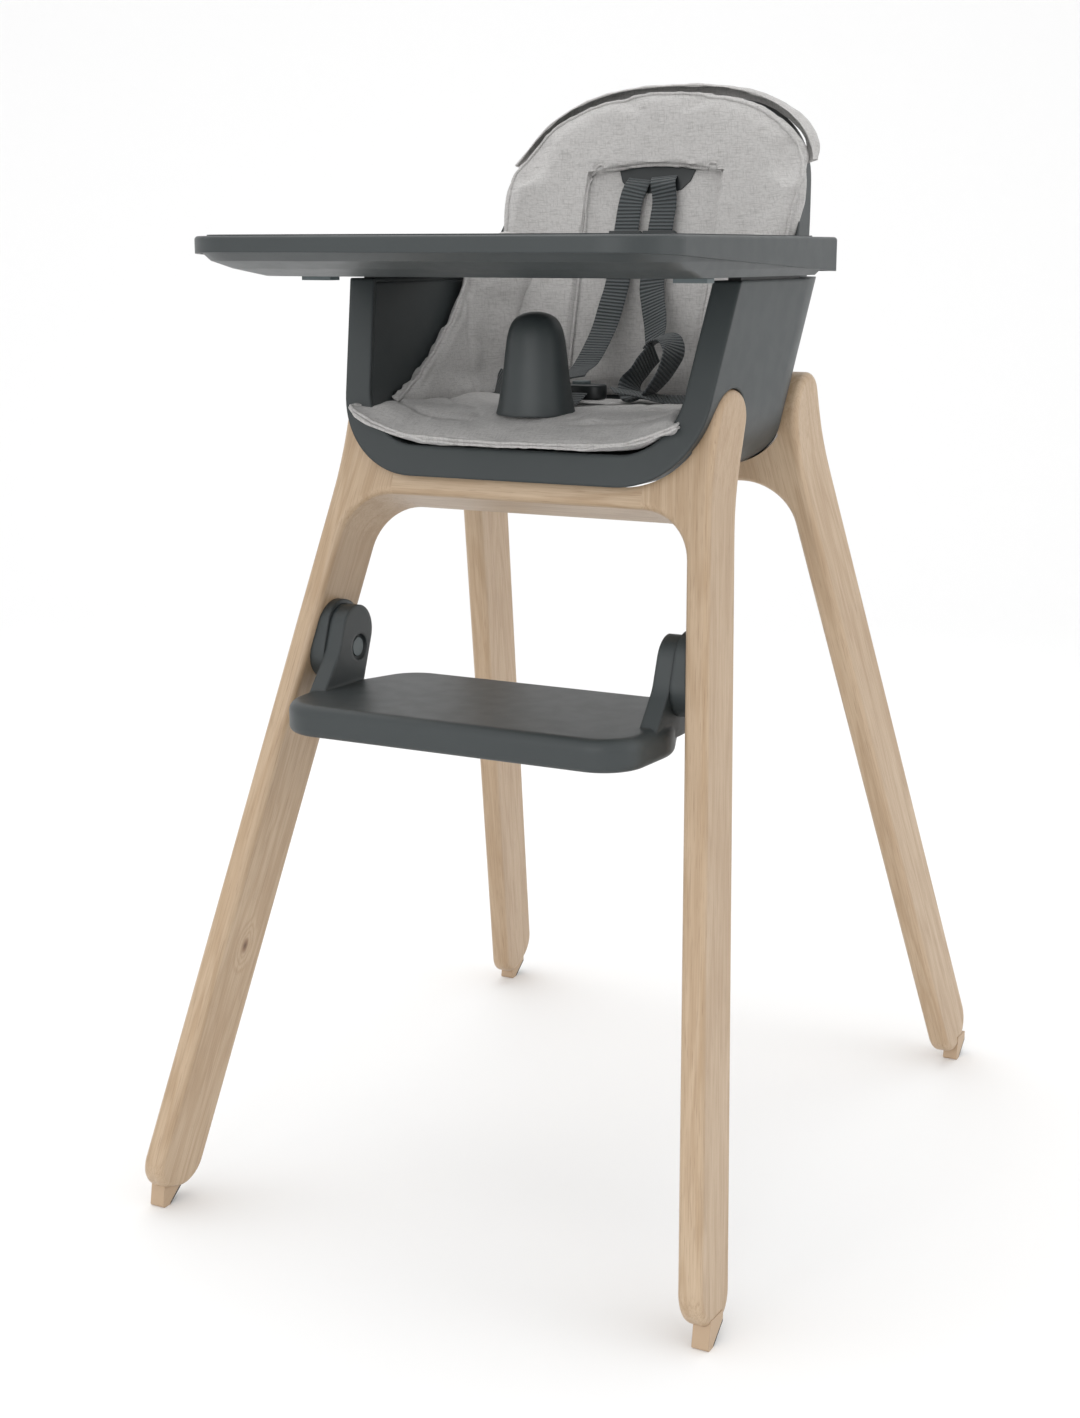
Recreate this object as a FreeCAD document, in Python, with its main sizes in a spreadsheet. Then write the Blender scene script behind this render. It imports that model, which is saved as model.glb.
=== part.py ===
"""Baby high chair: wooden trestle frames, double-walled bucket seat, tray, footrest and harness.

Millimetres. The origin is on the floor at the centre of the footprint, +Z is up,
the chair faces -Y and the child's left hand is towards +X.
"""
import FreeCAD, Part
import math
import os
from types import SimpleNamespace

import Sketcher
from FreeCAD import Placement, Rotation, Vector

os.makedirs("parts", exist_ok=True)
doc = FreeCAD.newDocument("HighChair")
sheet = doc.addObject("Spreadsheet::Sheet", "Sizes")


# ---------------------------------------------------------------- driving dimensions

class Size:
    """A dimension known both as a number and as a formula over the sheet's aliases."""

    def __init__(self, value, formula):
        self.value = float(value)
        self.formula = formula

    def __add__(self, other):
        other = size(other)
        return Size(self.value + other.value, f"({self.formula} + {other.formula})")

    def __sub__(self, other):
        other = size(other)
        return Size(self.value - other.value, f"({self.formula} - {other.formula})")

    def __mul__(self, other):
        other = size(other)
        return Size(self.value * other.value, f"({self.formula} * {other.formula})")

    def __truediv__(self, other):
        other = size(other)
        return Size(self.value / other.value, f"({self.formula} / {other.formula})")

    def __rsub__(self, other):
        return size(other) - self

    def __rtruediv__(self, other):
        return size(other) / self

    def __neg__(self):
        return size(-1) * self

    __radd__ = __add__
    __rmul__ = __mul__


def size(number):
    """Wrap a plain number, so that it can stand in a formula."""
    return number if isinstance(number, Size) else Size(number, f"({number})")


def cosine(angle):
    return Size(math.cos(math.radians(angle.value)), f"cos({angle.formula} * 1 deg)")


def sine(angle):
    return Size(math.sin(math.radians(angle.value)), f"sin({angle.formula} * 1 deg)")


DIMENSIONS = {
    # Wooden frames. Each lies in a leaning plane: "up" is measured along that plane.
    "leg_thick": 20, "leg_depth": 62, "leg_edge_round": 6,
    "splay": 0.1421, "leg_end_up": 17, "leg_end_round": 25,
    "front_lean": 18.54, "front_foot_y": -325.5, "front_half_base": 255.2,
    "rear_lean": 20.6, "rear_foot_y": 325.5, "rear_half_base": 258.3,
    "front_rail_under": 632, "front_rail_top": 648.3, "front_horn_top": 740,
    "rear_rail_under": 661, "rear_rail_top": 678.8, "rear_horn_top": 749,
    "rail_fillet": 45, "rail_half": 116, "cradle_round": 69, "cradle_corner": 132.2,
    "horn_root_rise": 30, "horn_inner": 154, "horn_outer": 172, "horn_bend_round": 400,
    "horn_front_round": 38, "horn_back_round": 22,
    # Bucket seat. Heights are above the floor.
    "bucket_low": 625, "bucket_mid": 700, "bucket_rim": 786, "bucket_high": 944,
    "bucket_half": 170, "flank_slope": 0.125, "bucket_round": 75, "plan_round": 95,
    "back_y": 110, "back_slope": 0.3, "rim_low_y": -158, "rim_slope": 0.305,
    "skin": 3.2, "liner_wall": 2.6, "wall_side": 24, "wall_back": 20, "floor_thick": 25,
    "cavity_round": 52, "arch_half_low": 154, "arch_half_high": 127, "arch_round": 90,
    "edge_top": 22, "edge_waist": -22, "edge_waist_rise": 70, "edge_waist_round": 120,
    "edge_foot": -50, "edge_foot_round": 34, "edge_front_round": 3,
    "frame_gap": 0.5,
    # Tray
    "tray_top": 820, "tray_half_front": 207, "tray_half_rear": 202, "tray_front_y": -325,
    "tray_rear_y": 52, "tray_front_round": 48, "tray_rear_round": 8, "band_front": 12,
    "band_rear": 28, "belly_half": 147, "belly_y": -70, "belly_round": 82,
    "hull_low": 789, "hull_wall": 2.8, "recess_inset": 9, "recess_deep": 9,
    "cover_wall": 2.6,
    # Footrest
    "step_top": 446, "step_thick": 26, "step_half_front": 165, "step_half_rear": 130,
    "step_front_y": -272, "step_rear_y": -100, "step_round": 38, "step_flare": 6,
    "step_flare_y": -190, "step_flare_round": 60, "step_top_round": 9, "step_low_round": 5,
    "arm_inner": 146, "arm_outer": 161, "arm_top": 512, "arm_sunk": 14, "arm_toe": 46,
    "arm_heel": 22, "arm_half_top": 24, "arm_top_round": 23, "arm_waist": 25,
    "arm_waist_rise": 26, "arm_waist_round": 30,
    "button_z": 475, "button_y": -160, "button_r": 8,
    # Feet
    "toe_half": 7, "toe_front": 7, "toe_flat": 3, "toe_long": 21, "toe_rise": 13,
    "toe_round": 2, "toe_root": 9, "toe_high": 24, "toe_slope": 4, "sole_thick": 2,
    # Fits
    "running": 0.05, "button_gap": 0.3,
}
BEYOND = 5      # how far a cutting outline reaches past the material it cuts
HAIR = 0.01     # lengths closer than this count as equal
SIDES = ((-1, "right"), (1, "left"))    # the child's hands, by the sign of X

D = SimpleNamespace()
for row, (alias, number) in enumerate(DIMENSIONS.items(), start=1):
    sheet.set(f"A{row}", alias.replace("_", " "))
    sheet.set(f"B{row}", str(number))
    sheet.setAlias(f"B{row}", alias)
    setattr(D, alias, Size(number, f"Sizes.{alias}"))
doc.recompute()


# ---------------------------------------------------------------- building helpers

NODES = {}


def node(name, made):
    """Give an object the Label that names its file, and keep it for the export."""
    made.Label = name
    NODES[name] = made
    return made


def bind(made, path, dimension):
    """Drive one property by the sheet."""
    made.setExpression(path, size(dimension).formula)


def place(made, x=0, y=0, z=0, turn=None):
    """Put an object somewhere, with its position bound to the sheet."""
    x, y, z = size(x), size(y), size(z)
    made.Placement = Placement(Vector(x.value, y.value, z.value), turn or Rotation())
    for letter, distance in zip("xyz", (x, y, z)):
        bind(made, f"Placement.Base.{letter}", distance)
    return made


def new_body(name):
    return doc.addObject("PartDesign::Body", name)


def origin_plane(body, plane):
    return next(o for o in body.Origin.OriginFeatures if o.Role == f"{plane}_Plane")


def rounded_geometry(corners):
    """Lines and arcs of a closed outline; a corner's third value rounds it."""
    points = [Vector(c[0].value, c[1].value, 0) for c in corners]
    radii = [c[2].value if len(c) > 2 else 0 for c in corners]
    entries, exits, arcs = [], [], []
    for i, (point, radius) in enumerate(zip(points, radii)):
        before = (points[i - 1] - point).normalize()
        after = (points[(i + 1) % len(points)] - point).normalize()
        if not radius:
            entries.append(point)
            exits.append(point)
            arcs.append(None)
            continue
        half = before.getAngle(after) / 2
        reach = radius / math.tan(half)
        centre = point + (before + after).normalize() * (radius / math.sin(half))
        middle = centre + (point - centre).normalize() * radius
        entries.append(point + before * reach)
        exits.append(point + after * reach)
        left_turn = before.cross(after).z < 0
        arcs.append((Part.Arc(entries[-1], middle, exits[-1]), left_turn))
    lines = [Part.LineSegment(exits[i], entries[(i + 1) % len(points)])
             for i in range(len(points))]
    return lines, arcs


def draw(sketch, corners):
    """Draw a closed outline in a sketch and bind every corner to the sheet.

    A corner is (x, y) or (x, y, radius).
    """
    corners = [tuple(size(value) for value in corner) for corner in corners]
    lines, arcs = rounded_geometry(corners)
    first = sketch.GeometryCount
    for line in lines:
        sketch.addGeometry(line, False)
    count = len(corners)
    constraint = Sketcher.Constraint
    for i, corner in enumerate(corners):
        line_in, line_out = first + (i - 1) % count, first + i
        if arcs[i] is None:
            pin, pin_end = line_out, 1
            sketch.addConstraint(constraint("Coincident", line_in, 2, line_out, 1))
        else:
            arc, left_turn = arcs[i]
            curve = sketch.addGeometry(arc, False)
            near, far = (1, 2) if left_turn else (2, 1)
            sketch.addConstraint(constraint("Tangent", line_in, 2, curve, near))
            sketch.addConstraint(constraint("Tangent", curve, far, line_out, 1))
            radius = sketch.addConstraint(constraint("Radius", curve, corner[2].value))
            sketch.setExpression(f"Constraints[{radius}]", corner[2].formula)
            spot = Part.Point(Vector(corner[0].value, corner[1].value, 0))
            pin, pin_end = sketch.addGeometry(spot, True), 1
            sketch.addConstraint(constraint("PointOnObject", pin, 1, line_in))
            sketch.addConstraint(constraint("PointOnObject", pin, 1, line_out))
        for kind, distance in (("DistanceX", corner[0]), ("DistanceY", corner[1])):
            index = sketch.addConstraint(constraint(kind, pin, pin_end, distance.value))
            sketch.setExpression(f"Constraints[{index}]", distance.formula)


def new_sketch(body, plane, level, *outlines):
    """A sketch parallel to one of the body's planes, at a level along its normal."""
    sketch = body.newObject("Sketcher::SketchObject", "Outline")
    sketch.AttachmentSupport = [(origin_plane(body, plane), "")]
    sketch.MapMode = "FlatFace"
    bind(sketch, "AttachmentOffset.Base.z", -size(level) if plane == "XZ" else level)
    for corners in outlines:
        draw(sketch, corners)
    return sketch


def volume(body):
    doc.recompute()
    return body.Shape.Volume if body.Tip and not body.Shape.isNull() else 0.0


def extrude(kind, body, plane, low, high, *outlines):
    """Pad or Pocket from one level to another along a plane's normal."""
    low, high = size(low), size(high)
    before = volume(body)
    sketch = new_sketch(body, plane, (low + high) / 2, *outlines)
    feature = body.newObject(f"PartDesign::{kind}", kind)
    feature.Profile = sketch
    feature.SideType = "Symmetric"
    bind(feature, "Length", high - low)
    changed = volume(body) - before
    if changed * (1 if kind == "Pad" else -1) <= 0:
        raise RuntimeError(f"{kind} in {body.Name} changed the volume by {changed:.1f}")
    return feature


def pad(body, plane, low, high, corners):
    return extrude("Pad", body, plane, low, high, corners)


def pocket(body, plane, low, high, corners):
    return extrude("Pocket", body, plane, low, high, corners)


def keep_inside(body, plane, low, high, corners, far=900):
    """Trim away everything outside an outline."""
    frame = [(-far, -far), (far, -far), (far, 2 * far), (-far, 2 * far)]
    return extrude("Pocket", body, plane, low, high, frame, corners)


def loft(body, sections, ruled=True, kind="AdditiveLoft"):
    """Loft through horizontal outlines, given as (level, corners)."""
    sketches = [new_sketch(body, "XY", level, corners) for level, corners in sections]
    feature = body.newObject(f"PartDesign::{kind}", "Loft")
    feature.Profile = sketches[0]
    feature.Sections = sketches[1:]
    feature.Ruled = ruled
    doc.recompute()
    return feature


def soften(body, radius, chosen):
    """Fillet the edges for which chosen(edge) is true."""
    doc.recompute()
    tip = body.Tip
    names = [f"Edge{i}" for i, edge in enumerate(tip.Shape.Edges, start=1) if chosen(edge)]
    feature = body.newObject("PartDesign::Fillet", "Fillet")
    feature.Base = (tip, names)
    bind(feature, "Radius", radius)
    doc.recompute()
    return feature


def middle(edge):
    """The point half-way along an edge."""
    return edge.valueAt((edge.FirstParameter + edge.LastParameter) / 2)


def rectangle(x_low, y_low, x_high, y_high, radius=None):
    corners = [(x_low, y_low), (x_high, y_low), (x_high, y_high), (x_low, y_high)]
    return [c + (radius,) for c in corners] if radius is not None else corners


def mirrored(right_half):
    """A closed outline, symmetric about the vertical axis, from its right half."""
    return right_half + [(-size(c[0]),) + tuple(c[1:]) for c in reversed(right_half)]


def combine(kind, base, tool):
    """Part::Cut or Part::Common of two objects."""
    made = doc.addObject(f"Part::{kind}", kind)
    made.Base = base
    made.Tool = tool
    return made


def group(name, members):
    """One node of several separate solids."""
    made = doc.addObject("Part::Compound", "Group")
    made.Links = members
    return node(name, made)


def fuse(members):
    made = doc.addObject("Part::MultiFuse", "Fuse")
    made.Shapes = members
    return made


def cylinder(radius, length, x, y, z, axis="Z"):
    """A round bar from a point along +X, +Y or +Z."""
    made = doc.addObject("Part::Cylinder", "Cylinder")
    bind(made, "Radius", radius)
    bind(made, "Height", length)
    turns = {"X": Rotation(Vector(0, 1, 0), 90), "Y": Rotation(Vector(1, 0, 0), -90),
             "Z": Rotation()}
    return place(made, x, y, z, turns[axis])


def box(x_low, y_low, z_low, x_high, y_high, z_high):
    made = doc.addObject("Part::Box", "Box")
    bind(made, "Length", size(x_high) - x_low)
    bind(made, "Width", size(y_high) - y_low)
    bind(made, "Height", size(z_high) - z_low)
    return place(made, x_low, y_low, z_low)


def on_side(side, near, far):
    """The X range from near to far on one side of the chair's middle, low end first."""
    return (near, far) if side > 0 else (-size(far), -size(near))


def bar(side, radius, near, far, y, z):
    """A round bar along X on one side of the chair."""
    low, high = on_side(side, near, far)
    return cylinder(radius, size(high) - low, low, y, z, "X")


def block(side, near, y_low, z_low, far, y_high, z_high):
    """A box on one side of the chair."""
    low, high = on_side(side, near, far)
    return box(low, y_low, z_low, high, y_high, z_high)


def on_frame(made, towards, lean, foot_y):
    """Move something drawn in a trestle's own plane to where the trestle stands.

    towards is -1 where the top leans back to +Y and 1 where it leans forward to -Y.
    """
    place(made, 0, foot_y, 0, Rotation(Vector(towards, 0, 0), lean.value))
    bind(made, "Placement.Rotation.Angle", lean)
    return made


# ---------------------------------------------------------------- wooden frames

def trestle_outline(half_base, rail_under, rail_top, horn_top, grow):
    """Front view of a trestle: two splayed legs, a rail and two horns that hold the seat."""
    def leg_face(up, offset):
        return half_base + offset - D.splay * up

    half_thick = D.leg_thick / 2
    bend_up = (half_base + half_thick - D.horn_outer) / D.splay
    right = [
        (leg_face(rail_under, -half_thick), rail_under - grow, D.rail_fillet),
        (leg_face(D.leg_end_up, -half_thick), D.leg_end_up),
        (leg_face(D.leg_end_up, half_thick) + grow, D.leg_end_up),
        (D.horn_outer + grow, bend_up, D.horn_bend_round),
        (D.horn_outer + grow, horn_top + grow),
        (D.horn_inner - grow, horn_top + grow),
        (D.horn_inner - grow, rail_top + D.horn_root_rise + grow),
        (D.cradle_corner - grow, rail_top + grow, D.cradle_round),
    ]
    return mirrored(right)


def trestle(name, towards, lean, foot_y, outline_sizes, front_round, back_round, grow=0.0):
    """A whole trestle, or the same trestle grown on every side to make room for it."""
    body = new_body(name)
    half = D.leg_depth / 2 + grow
    horn_top = outline_sizes[3] + grow
    pad(body, "XZ", -half, half, trestle_outline(*outline_sizes, grow))
    side_view = [
        (-half, D.leg_end_up, D.leg_end_round), (half, D.leg_end_up, D.leg_end_round),
        (half, horn_top, back_round), (-half, horn_top, front_round),
    ]
    keep_inside(body, "YZ", -400, 400, side_view)
    if not grow:
        hidden = outline_sizes[2].value - 1

        def visible_edge(edge):
            point = middle(edge)
            across = abs(abs(point.y) - half.value) < HAIR
            on_cradle = abs(point.x) < D.horn_inner.value + HAIR and point.z > hidden
            arc = edge.Curve.TypeId == "Part::GeomCircle"
            round_end = arc and not across and abs(point.y) > HAIR
            inner_tip = round_end and point.z > hidden and abs(point.x) < D.horn_inner.value + 1
            return (across and not on_cradle) or (round_end and not inner_tip)

        soften(body, D.leg_edge_round, visible_edge)
    return on_frame(body, towards, lean, foot_y)


FRONT = (D.front_half_base, D.front_rail_under, D.front_rail_top, D.front_horn_top)
REAR = (D.rear_half_base, D.rear_rail_under, D.rear_rail_top, D.rear_horn_top)

front = trestle("FrontTrestle", -1, D.front_lean, D.front_foot_y, FRONT,
                D.horn_front_round, D.horn_back_round)
rear = trestle("RearTrestle", 1, D.rear_lean, D.rear_foot_y, REAR,
               D.horn_front_round, D.horn_back_round)


# ---------------------------------------------------------------- bucket seat

def flank(up, inset):
    """Half width of the bucket at a height above the floor."""
    return D.bucket_half + D.flank_slope * (up - D.bucket_mid) - inset


def back_at(up, inset):
    """How far back the outer face of the bucket reaches at a height."""
    return D.back_y + D.back_slope * (up - D.bucket_mid) - inset


def rim_at(up, inset):
    """The front rim plane at a height."""
    return D.rim_low_y + D.rim_slope * (up - D.bucket_low) + inset


def bowl(body, low, high, side_inset, back_inset, corner, floor_round):
    """A leaning tub with rounded rear corners and a rounded floor, open to the front."""
    front_end, behind, cut_from = -240, 300, -240 - BEYOND
    low, high = size(low), size(high)

    def front_view(*radius):
        foot, top = flank(low, side_inset), flank(high, side_inset)
        return [(-foot, low, *radius), (foot, low, *radius), (top, high), (-top, high)]

    def side_view(*radius):
        return [(cut_from, low), (back_at(low, back_inset), low, *radius),
                (back_at(high, back_inset), high), (cut_from, high)]

    pad(body, "XZ", front_end, behind, front_view())
    keep_inside(body, "YZ", -400, 400, side_view())

    def rear_corner(edge):
        rises = edge.BoundBox.ZLength > (high.value - low.value) * 0.9
        return rises and middle(edge).y > 0

    soften(body, corner, rear_corner)
    keep_inside(body, "XZ", cut_from, behind, front_view(floor_round))
    keep_inside(body, "YZ", -400, 400, side_view(floor_round))


def bucket(name, inset):
    """The seat's outer form, or the same form shrunk by an inset on every side."""
    body = new_body(name)
    along_y = 1.04      # a wall of the leaning back is this much thicker measured along Y
    bowl(body, D.bucket_low + inset, D.bucket_high - inset, inset, inset * along_y,
         D.plan_round - inset, D.bucket_round - inset)
    rim, top, under = D.bucket_rim - inset, D.bucket_high - inset, D.bucket_low - BEYOND
    edge_y = D.back_y + inset
    behind, beside = 240, 220
    side_view = [
        (rim_at(under, inset), under), (behind, under), (behind, top),
        (edge_y + D.edge_top, top),
        (edge_y + D.edge_waist, rim + D.edge_waist_rise, D.edge_waist_round),
        (edge_y + D.edge_foot, rim, D.edge_foot_round),
        (rim_at(rim, inset), rim, D.edge_front_round),
    ]
    keep_inside(body, "YZ", -300, 300, side_view)
    front_view = [
        (beside, under), (beside, rim + 1), (D.arch_half_low - inset, rim + 1),
        (D.arch_half_high - inset, top, D.arch_round - inset),
    ]
    keep_inside(body, "XZ", -300, 300, mirrored(front_view))
    return body


def cavity(name, outset):
    """The space inside the bucket, or the same space grown by a wall's thickness."""
    body = new_body(name)
    bowl(body, D.bucket_low + D.floor_thick - outset, D.bucket_high + 20,
         D.wall_side - outset, D.wall_back - outset,
         D.plan_round - D.wall_side + outset, D.cavity_round + outset)
    return body


outer_form = bucket("OuterForm", size(0))
inner_form = bucket("InnerForm", D.skin)
seat_space = cavity("SeatSpace", size(0))
liner_form = cavity("LinerForm", D.liner_wall)
front_gap = trestle("FrontClearance", -1, D.front_lean, D.front_foot_y, FRONT,
                    D.horn_front_round, D.horn_back_round, D.frame_gap)
rear_gap = trestle("RearClearance", 1, D.rear_lean, D.rear_foot_y, REAR,
                   D.horn_front_round, D.horn_back_round, D.frame_gap)


def slanted(y_at_floor, lean, up):
    """Y on a frame's centre plane at a height above the floor."""
    return y_at_floor + sine(lean) / cosine(lean) * up


# Bolts run from inside the bucket, through a spacer in the double wall, into each horn.
bolt_r, bolt_head_r, bolt_head_deep, spacer_r, insert_r = 3, 5.5, 4, 7, 5
front_bolt_up, rear_bolt_up = 684, 690
front_bolt_head_x, rear_bolt_head_x = 142, 112
insert_end = D.horn_outer - 5
HORN_BOLTS = [
    (slanted(D.front_foot_y, D.front_lean, front_bolt_up), front_bolt_up, front_bolt_head_x),
    (slanted(D.rear_foot_y, -D.rear_lean, rear_bolt_up), rear_bolt_up, rear_bolt_head_x)]
bolts, inserts, spacers, insert_holes = [], [], [], []
for y, up, head_x in HORN_BOLTS:
    for side, hand in SIDES:
        bolts.append(fuse([bar(side, bolt_r, head_x, insert_end, y, up),
                           bar(side, bolt_head_r, head_x - bolt_head_deep, head_x, y, up)]))
        bolt_hole = bar(side, bolt_r, head_x - 1, insert_end + 1, y, up)
        insert_hole = bar(side, insert_r, D.horn_inner, insert_end, y, up)
        insert_holes.append(insert_hole)
        inserts.append(combine("Cut", insert_hole, bolt_hole))
        sleeve = combine("Cut", bar(side, spacer_r, head_x, D.horn_inner, y, up), bolt_hole)
        spacers.append(combine("Cut", sleeve, liner_form))
group("horn_bolts", bolts)
group("horn_inserts", inserts)
group("horn_spacers", spacers)
bolt_space = fuse(insert_holes)


def through(radius, reach):
    """Bars right across the seat on the horn bolts' axes."""
    return fuse([cylinder(radius, 2 * reach, -reach, y, up, "X")
                 for y, up, head_x in HORN_BOLTS])


liner_reach, shell_reach = 148, 170
bolt_holes = through(bolt_head_r + 0.1, liner_reach)
spacer_holes = through(spacer_r, shell_reach)

# The liner stands on bosses moulded in the shell, and is screwed to them from below.
boss_r, screw_r, screw_long, head_r, head_deep = 8, 2, 22, 4.5, 2.5
BOSSES = [(x, y) for x in (-72, 72) for y in (-105, 45)]
floor_up, liner_up = D.bucket_low + D.skin, D.bucket_low + D.floor_thick - D.liner_wall
bosses = [cylinder(boss_r, liner_up - floor_up, x, y, floor_up) for x, y in BOSSES]
shell_screws = [fuse([cylinder(screw_r, screw_long, x, y, D.bucket_low + head_deep - 1),
                      cylinder(head_r, head_deep, x, y, D.bucket_low)])
                for x, y in BOSSES]
screw_group = group("shell_screws", shell_screws)

skin = combine("Cut", combine("Cut", outer_form, inner_form), seat_space)
skin = combine("Cut", skin, spacer_holes)
walls = combine("Cut", combine("Cut", skin, front_gap), rear_gap)
node("seat_shell", combine("Cut", fuse([walls] + bosses), screw_group))
liner = combine("Cut", combine("Common", liner_form, inner_form), seat_space)
liner = combine("Cut", liner, screw_group)
node("seat_liner", combine("Cut", liner, bolt_holes))


# ---------------------------------------------------------------- frames in pieces

def frame_pieces(side, whole, wood_taken):
    """Cut a trestle at its two glue joints into a rail and two legs."""
    far, high, wide = 500, 900, 400
    whole = combine("Cut", whole, wood_taken)
    node(f"{side}_rail", combine("Common", whole,
                                 box(-D.rail_half, -far, 0, D.rail_half, far, high)))
    node(f"{side}_leg_left", combine("Common", whole,
                                     box(D.rail_half, -far, 0, wide, far, high)))
    node(f"{side}_leg_right", combine("Common", whole,
                                      box(-wide, -far, 0, -D.rail_half, far, high)))


def dowels(name, towards, lean, foot_y, rail_under, rail_top):
    """Two pegs across each glue joint, lying in the rail."""
    peg_r, reach, apart = 4, 18, 28
    pegs = [cylinder(peg_r, 2 * reach, x - reach, y, (rail_under + rail_top) / 2, "X")
            for x in (D.rail_half, -D.rail_half) for y in (-apart / 2, apart / 2)]
    return on_frame(group(name, pegs), towards, lean, foot_y)


front_dowels = dowels("front_dowels", -1, D.front_lean, D.front_foot_y,
                      D.front_rail_under, D.front_rail_top)
rear_dowels = dowels("rear_dowels", 1, D.rear_lean, D.rear_foot_y,
                     D.rear_rail_under, D.rear_rail_top)

# Feet: a small wedge let into each leg's end, with a rubber sole under its sloping part.
FEET = [(side * half_base, toe_y, leg)
        for half_base, toe_y, leg in ((D.front_half_base, D.front_foot_y + 1, front),
                                      (D.rear_half_base, D.rear_foot_y - 9, rear))
        for side in (-1, 1)]
toes, soles = [], []
for x, y, leg in FEET:
    front_y, flat_y, rear_y = y - D.toe_front, y + D.toe_flat, y + D.toe_long
    toe = new_body("Toe")
    pad(toe, "YZ", x - D.toe_half, x + D.toe_half, [
        (front_y, 0, D.toe_round), (flat_y, 0), (flat_y, D.sole_thick),
        (rear_y, D.toe_rise + D.sole_thick), (rear_y, D.toe_rise + D.toe_root),
        (front_y + D.toe_slope, D.toe_high)])
    toes.append(combine("Cut", toe, leg))
    sole = new_body("Sole")
    pad(sole, "YZ", x - D.toe_half, x + D.toe_half, [
        (flat_y, 0), (rear_y, D.toe_rise), (rear_y, D.toe_rise + D.sole_thick),
        (flat_y, D.sole_thick)])
    soles.append(combine("Cut", sole, leg))
group("foot_toes", toes)
group("foot_soles", soles)


# ---------------------------------------------------------------- footrest

def leaned(offset, up):
    """A (y, z) point at an offset in front of or behind the front legs' centre plane."""
    return slanted(D.front_foot_y, D.front_lean, up) + offset, size(up)


step = new_body("Step")
step_low = D.step_top - D.step_thick
step_outline = [
    (-(D.step_half_front - D.step_flare), D.step_front_y, D.step_round),
    (D.step_half_front - D.step_flare, D.step_front_y, D.step_round),
    (D.step_half_front, D.step_flare_y, D.step_flare_round),
    (D.step_half_rear, D.step_rear_y, D.step_round),
    (-D.step_half_rear, D.step_rear_y, D.step_round),
    (-D.step_half_front, D.step_flare_y, D.step_flare_round),
]
pad(step, "XY", step_low, D.step_top, step_outline)
soften(step, D.step_top_round, lambda edge: abs(middle(edge).z - D.step_top.value) < HAIR)
soften(step, D.step_low_round, lambda edge: abs(middle(edge).z - step_low.value) < HAIR)
arm_foot = D.step_top - D.arm_sunk
arm_view = [
    leaned(-D.arm_toe, arm_foot), leaned(D.arm_heel, arm_foot),
    leaned(D.arm_half_top, D.arm_top) + (D.arm_top_round,),
    leaned(-D.arm_half_top, D.arm_top) + (D.arm_top_round,),
    leaned(-D.arm_waist, D.step_top + D.arm_waist_rise) + (D.arm_waist_round,),
]
arms = []
for side, hand in SIDES:
    arm = new_body("Arm")
    pad(arm, "YZ", *on_side(side, D.arm_inner, D.arm_outer), arm_view)
    arms.append(arm)
button_bore = D.button_r + D.button_gap
dish_r, dish_deep = button_bore + 3, 2.5
stem_r, cap_sunk, cap_deep, bore_deep, mount_gap, pad_hole_deep = 4, 1.5, 4, 10, 0.4, 9
spring_wall, spring_gap = 2.6, 0.4
cap_start, bore_end = D.arm_inner + cap_sunk, D.arm_inner + bore_deep
cap_end = cap_start + cap_deep
button_holes, pad_holes = [], []
for side, hand in SIDES:
    def on_button(radius, near, far):
        return bar(side, radius, near, far, D.button_y, D.button_z)

    button_holes += [on_button(dish_r, D.arm_inner - 1, D.arm_inner + dish_deep),
                     on_button(button_bore, D.arm_inner - 1, bore_end),
                     on_button(stem_r + D.running, D.arm_inner, D.arm_outer + 1)]
    pad_holes.append(on_button(stem_r + D.button_gap, D.arm_outer - 1,
                               D.arm_outer + pad_hole_deep))
    node(f"footrest_button_{hand}",
         fuse([on_button(D.button_r, cap_start, cap_end),
               on_button(stem_r, cap_start, D.arm_outer + mount_gap / 2)]))
    spring_r = stem_r + spring_gap
    node(f"footrest_spring_{hand}",
         combine("Cut", on_button(spring_r + spring_wall, cap_end, bore_end),
                 on_button(spring_r, cap_start, bore_end + 1)))
node("footrest", combine("Cut", fuse([step] + arms), fuse(button_holes)))

mount_half, mount_thick, mount_foot, mount_margin = 25, 22, 449, 9
mount_low, mount_high = mount_foot / cosine(D.front_lean), (D.arm_top + 2) / cosine(D.front_lean)
mount_view = rectangle(-mount_half, mount_low, mount_half, mount_high, mount_half - 1)
wedge_low, wedge_high = mount_low - mount_margin, mount_high + mount_margin
MOUNT_SCREWS_UP = (464, 499)
wood_screw_r, wood_head_r, wood_head_deep = 1.8, 3.6, 2


def leg_inner(along):
    """X of a front leg's inner face, measured along the leg."""
    return D.front_half_base - D.leg_thick / 2 - D.splay * along - D.running


wood_screws = []
near, far = D.arm_outer + mount_gap, D.arm_outer + mount_thick
for (side, hand), pad_hole in zip(SIDES, pad_holes):
    mount = new_body("Mount")
    pad(mount, "YZ", *on_side(side, near, far), mount_view)
    wedge = [(near - BEYOND, wedge_low), (leg_inner(wedge_low), wedge_low),
             (leg_inner(wedge_high), wedge_high), (near - BEYOND, wedge_high)]
    keep_inside(mount, "XZ", -90, 90, [(side * x, up) for x, up in wedge])
    on_frame(mount, -1, D.front_lean, D.front_foot_y)
    screws = []
    for up in MOUNT_SCREWS_UP:
        screw_y, screw_up = leaned(0, up)
        screws.append(fuse([
            bar(side, wood_screw_r, near, near + mount_thick, screw_y, screw_up),
            bar(side, wood_head_r, near, near + wood_head_deep, screw_y, screw_up)]))
    wood_screws += screws
    node(f"footrest_mount_{hand}", combine("Cut", mount, fuse([pad_hole] + screws)))
mount_screws = group("mount_screws", wood_screws)

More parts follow.
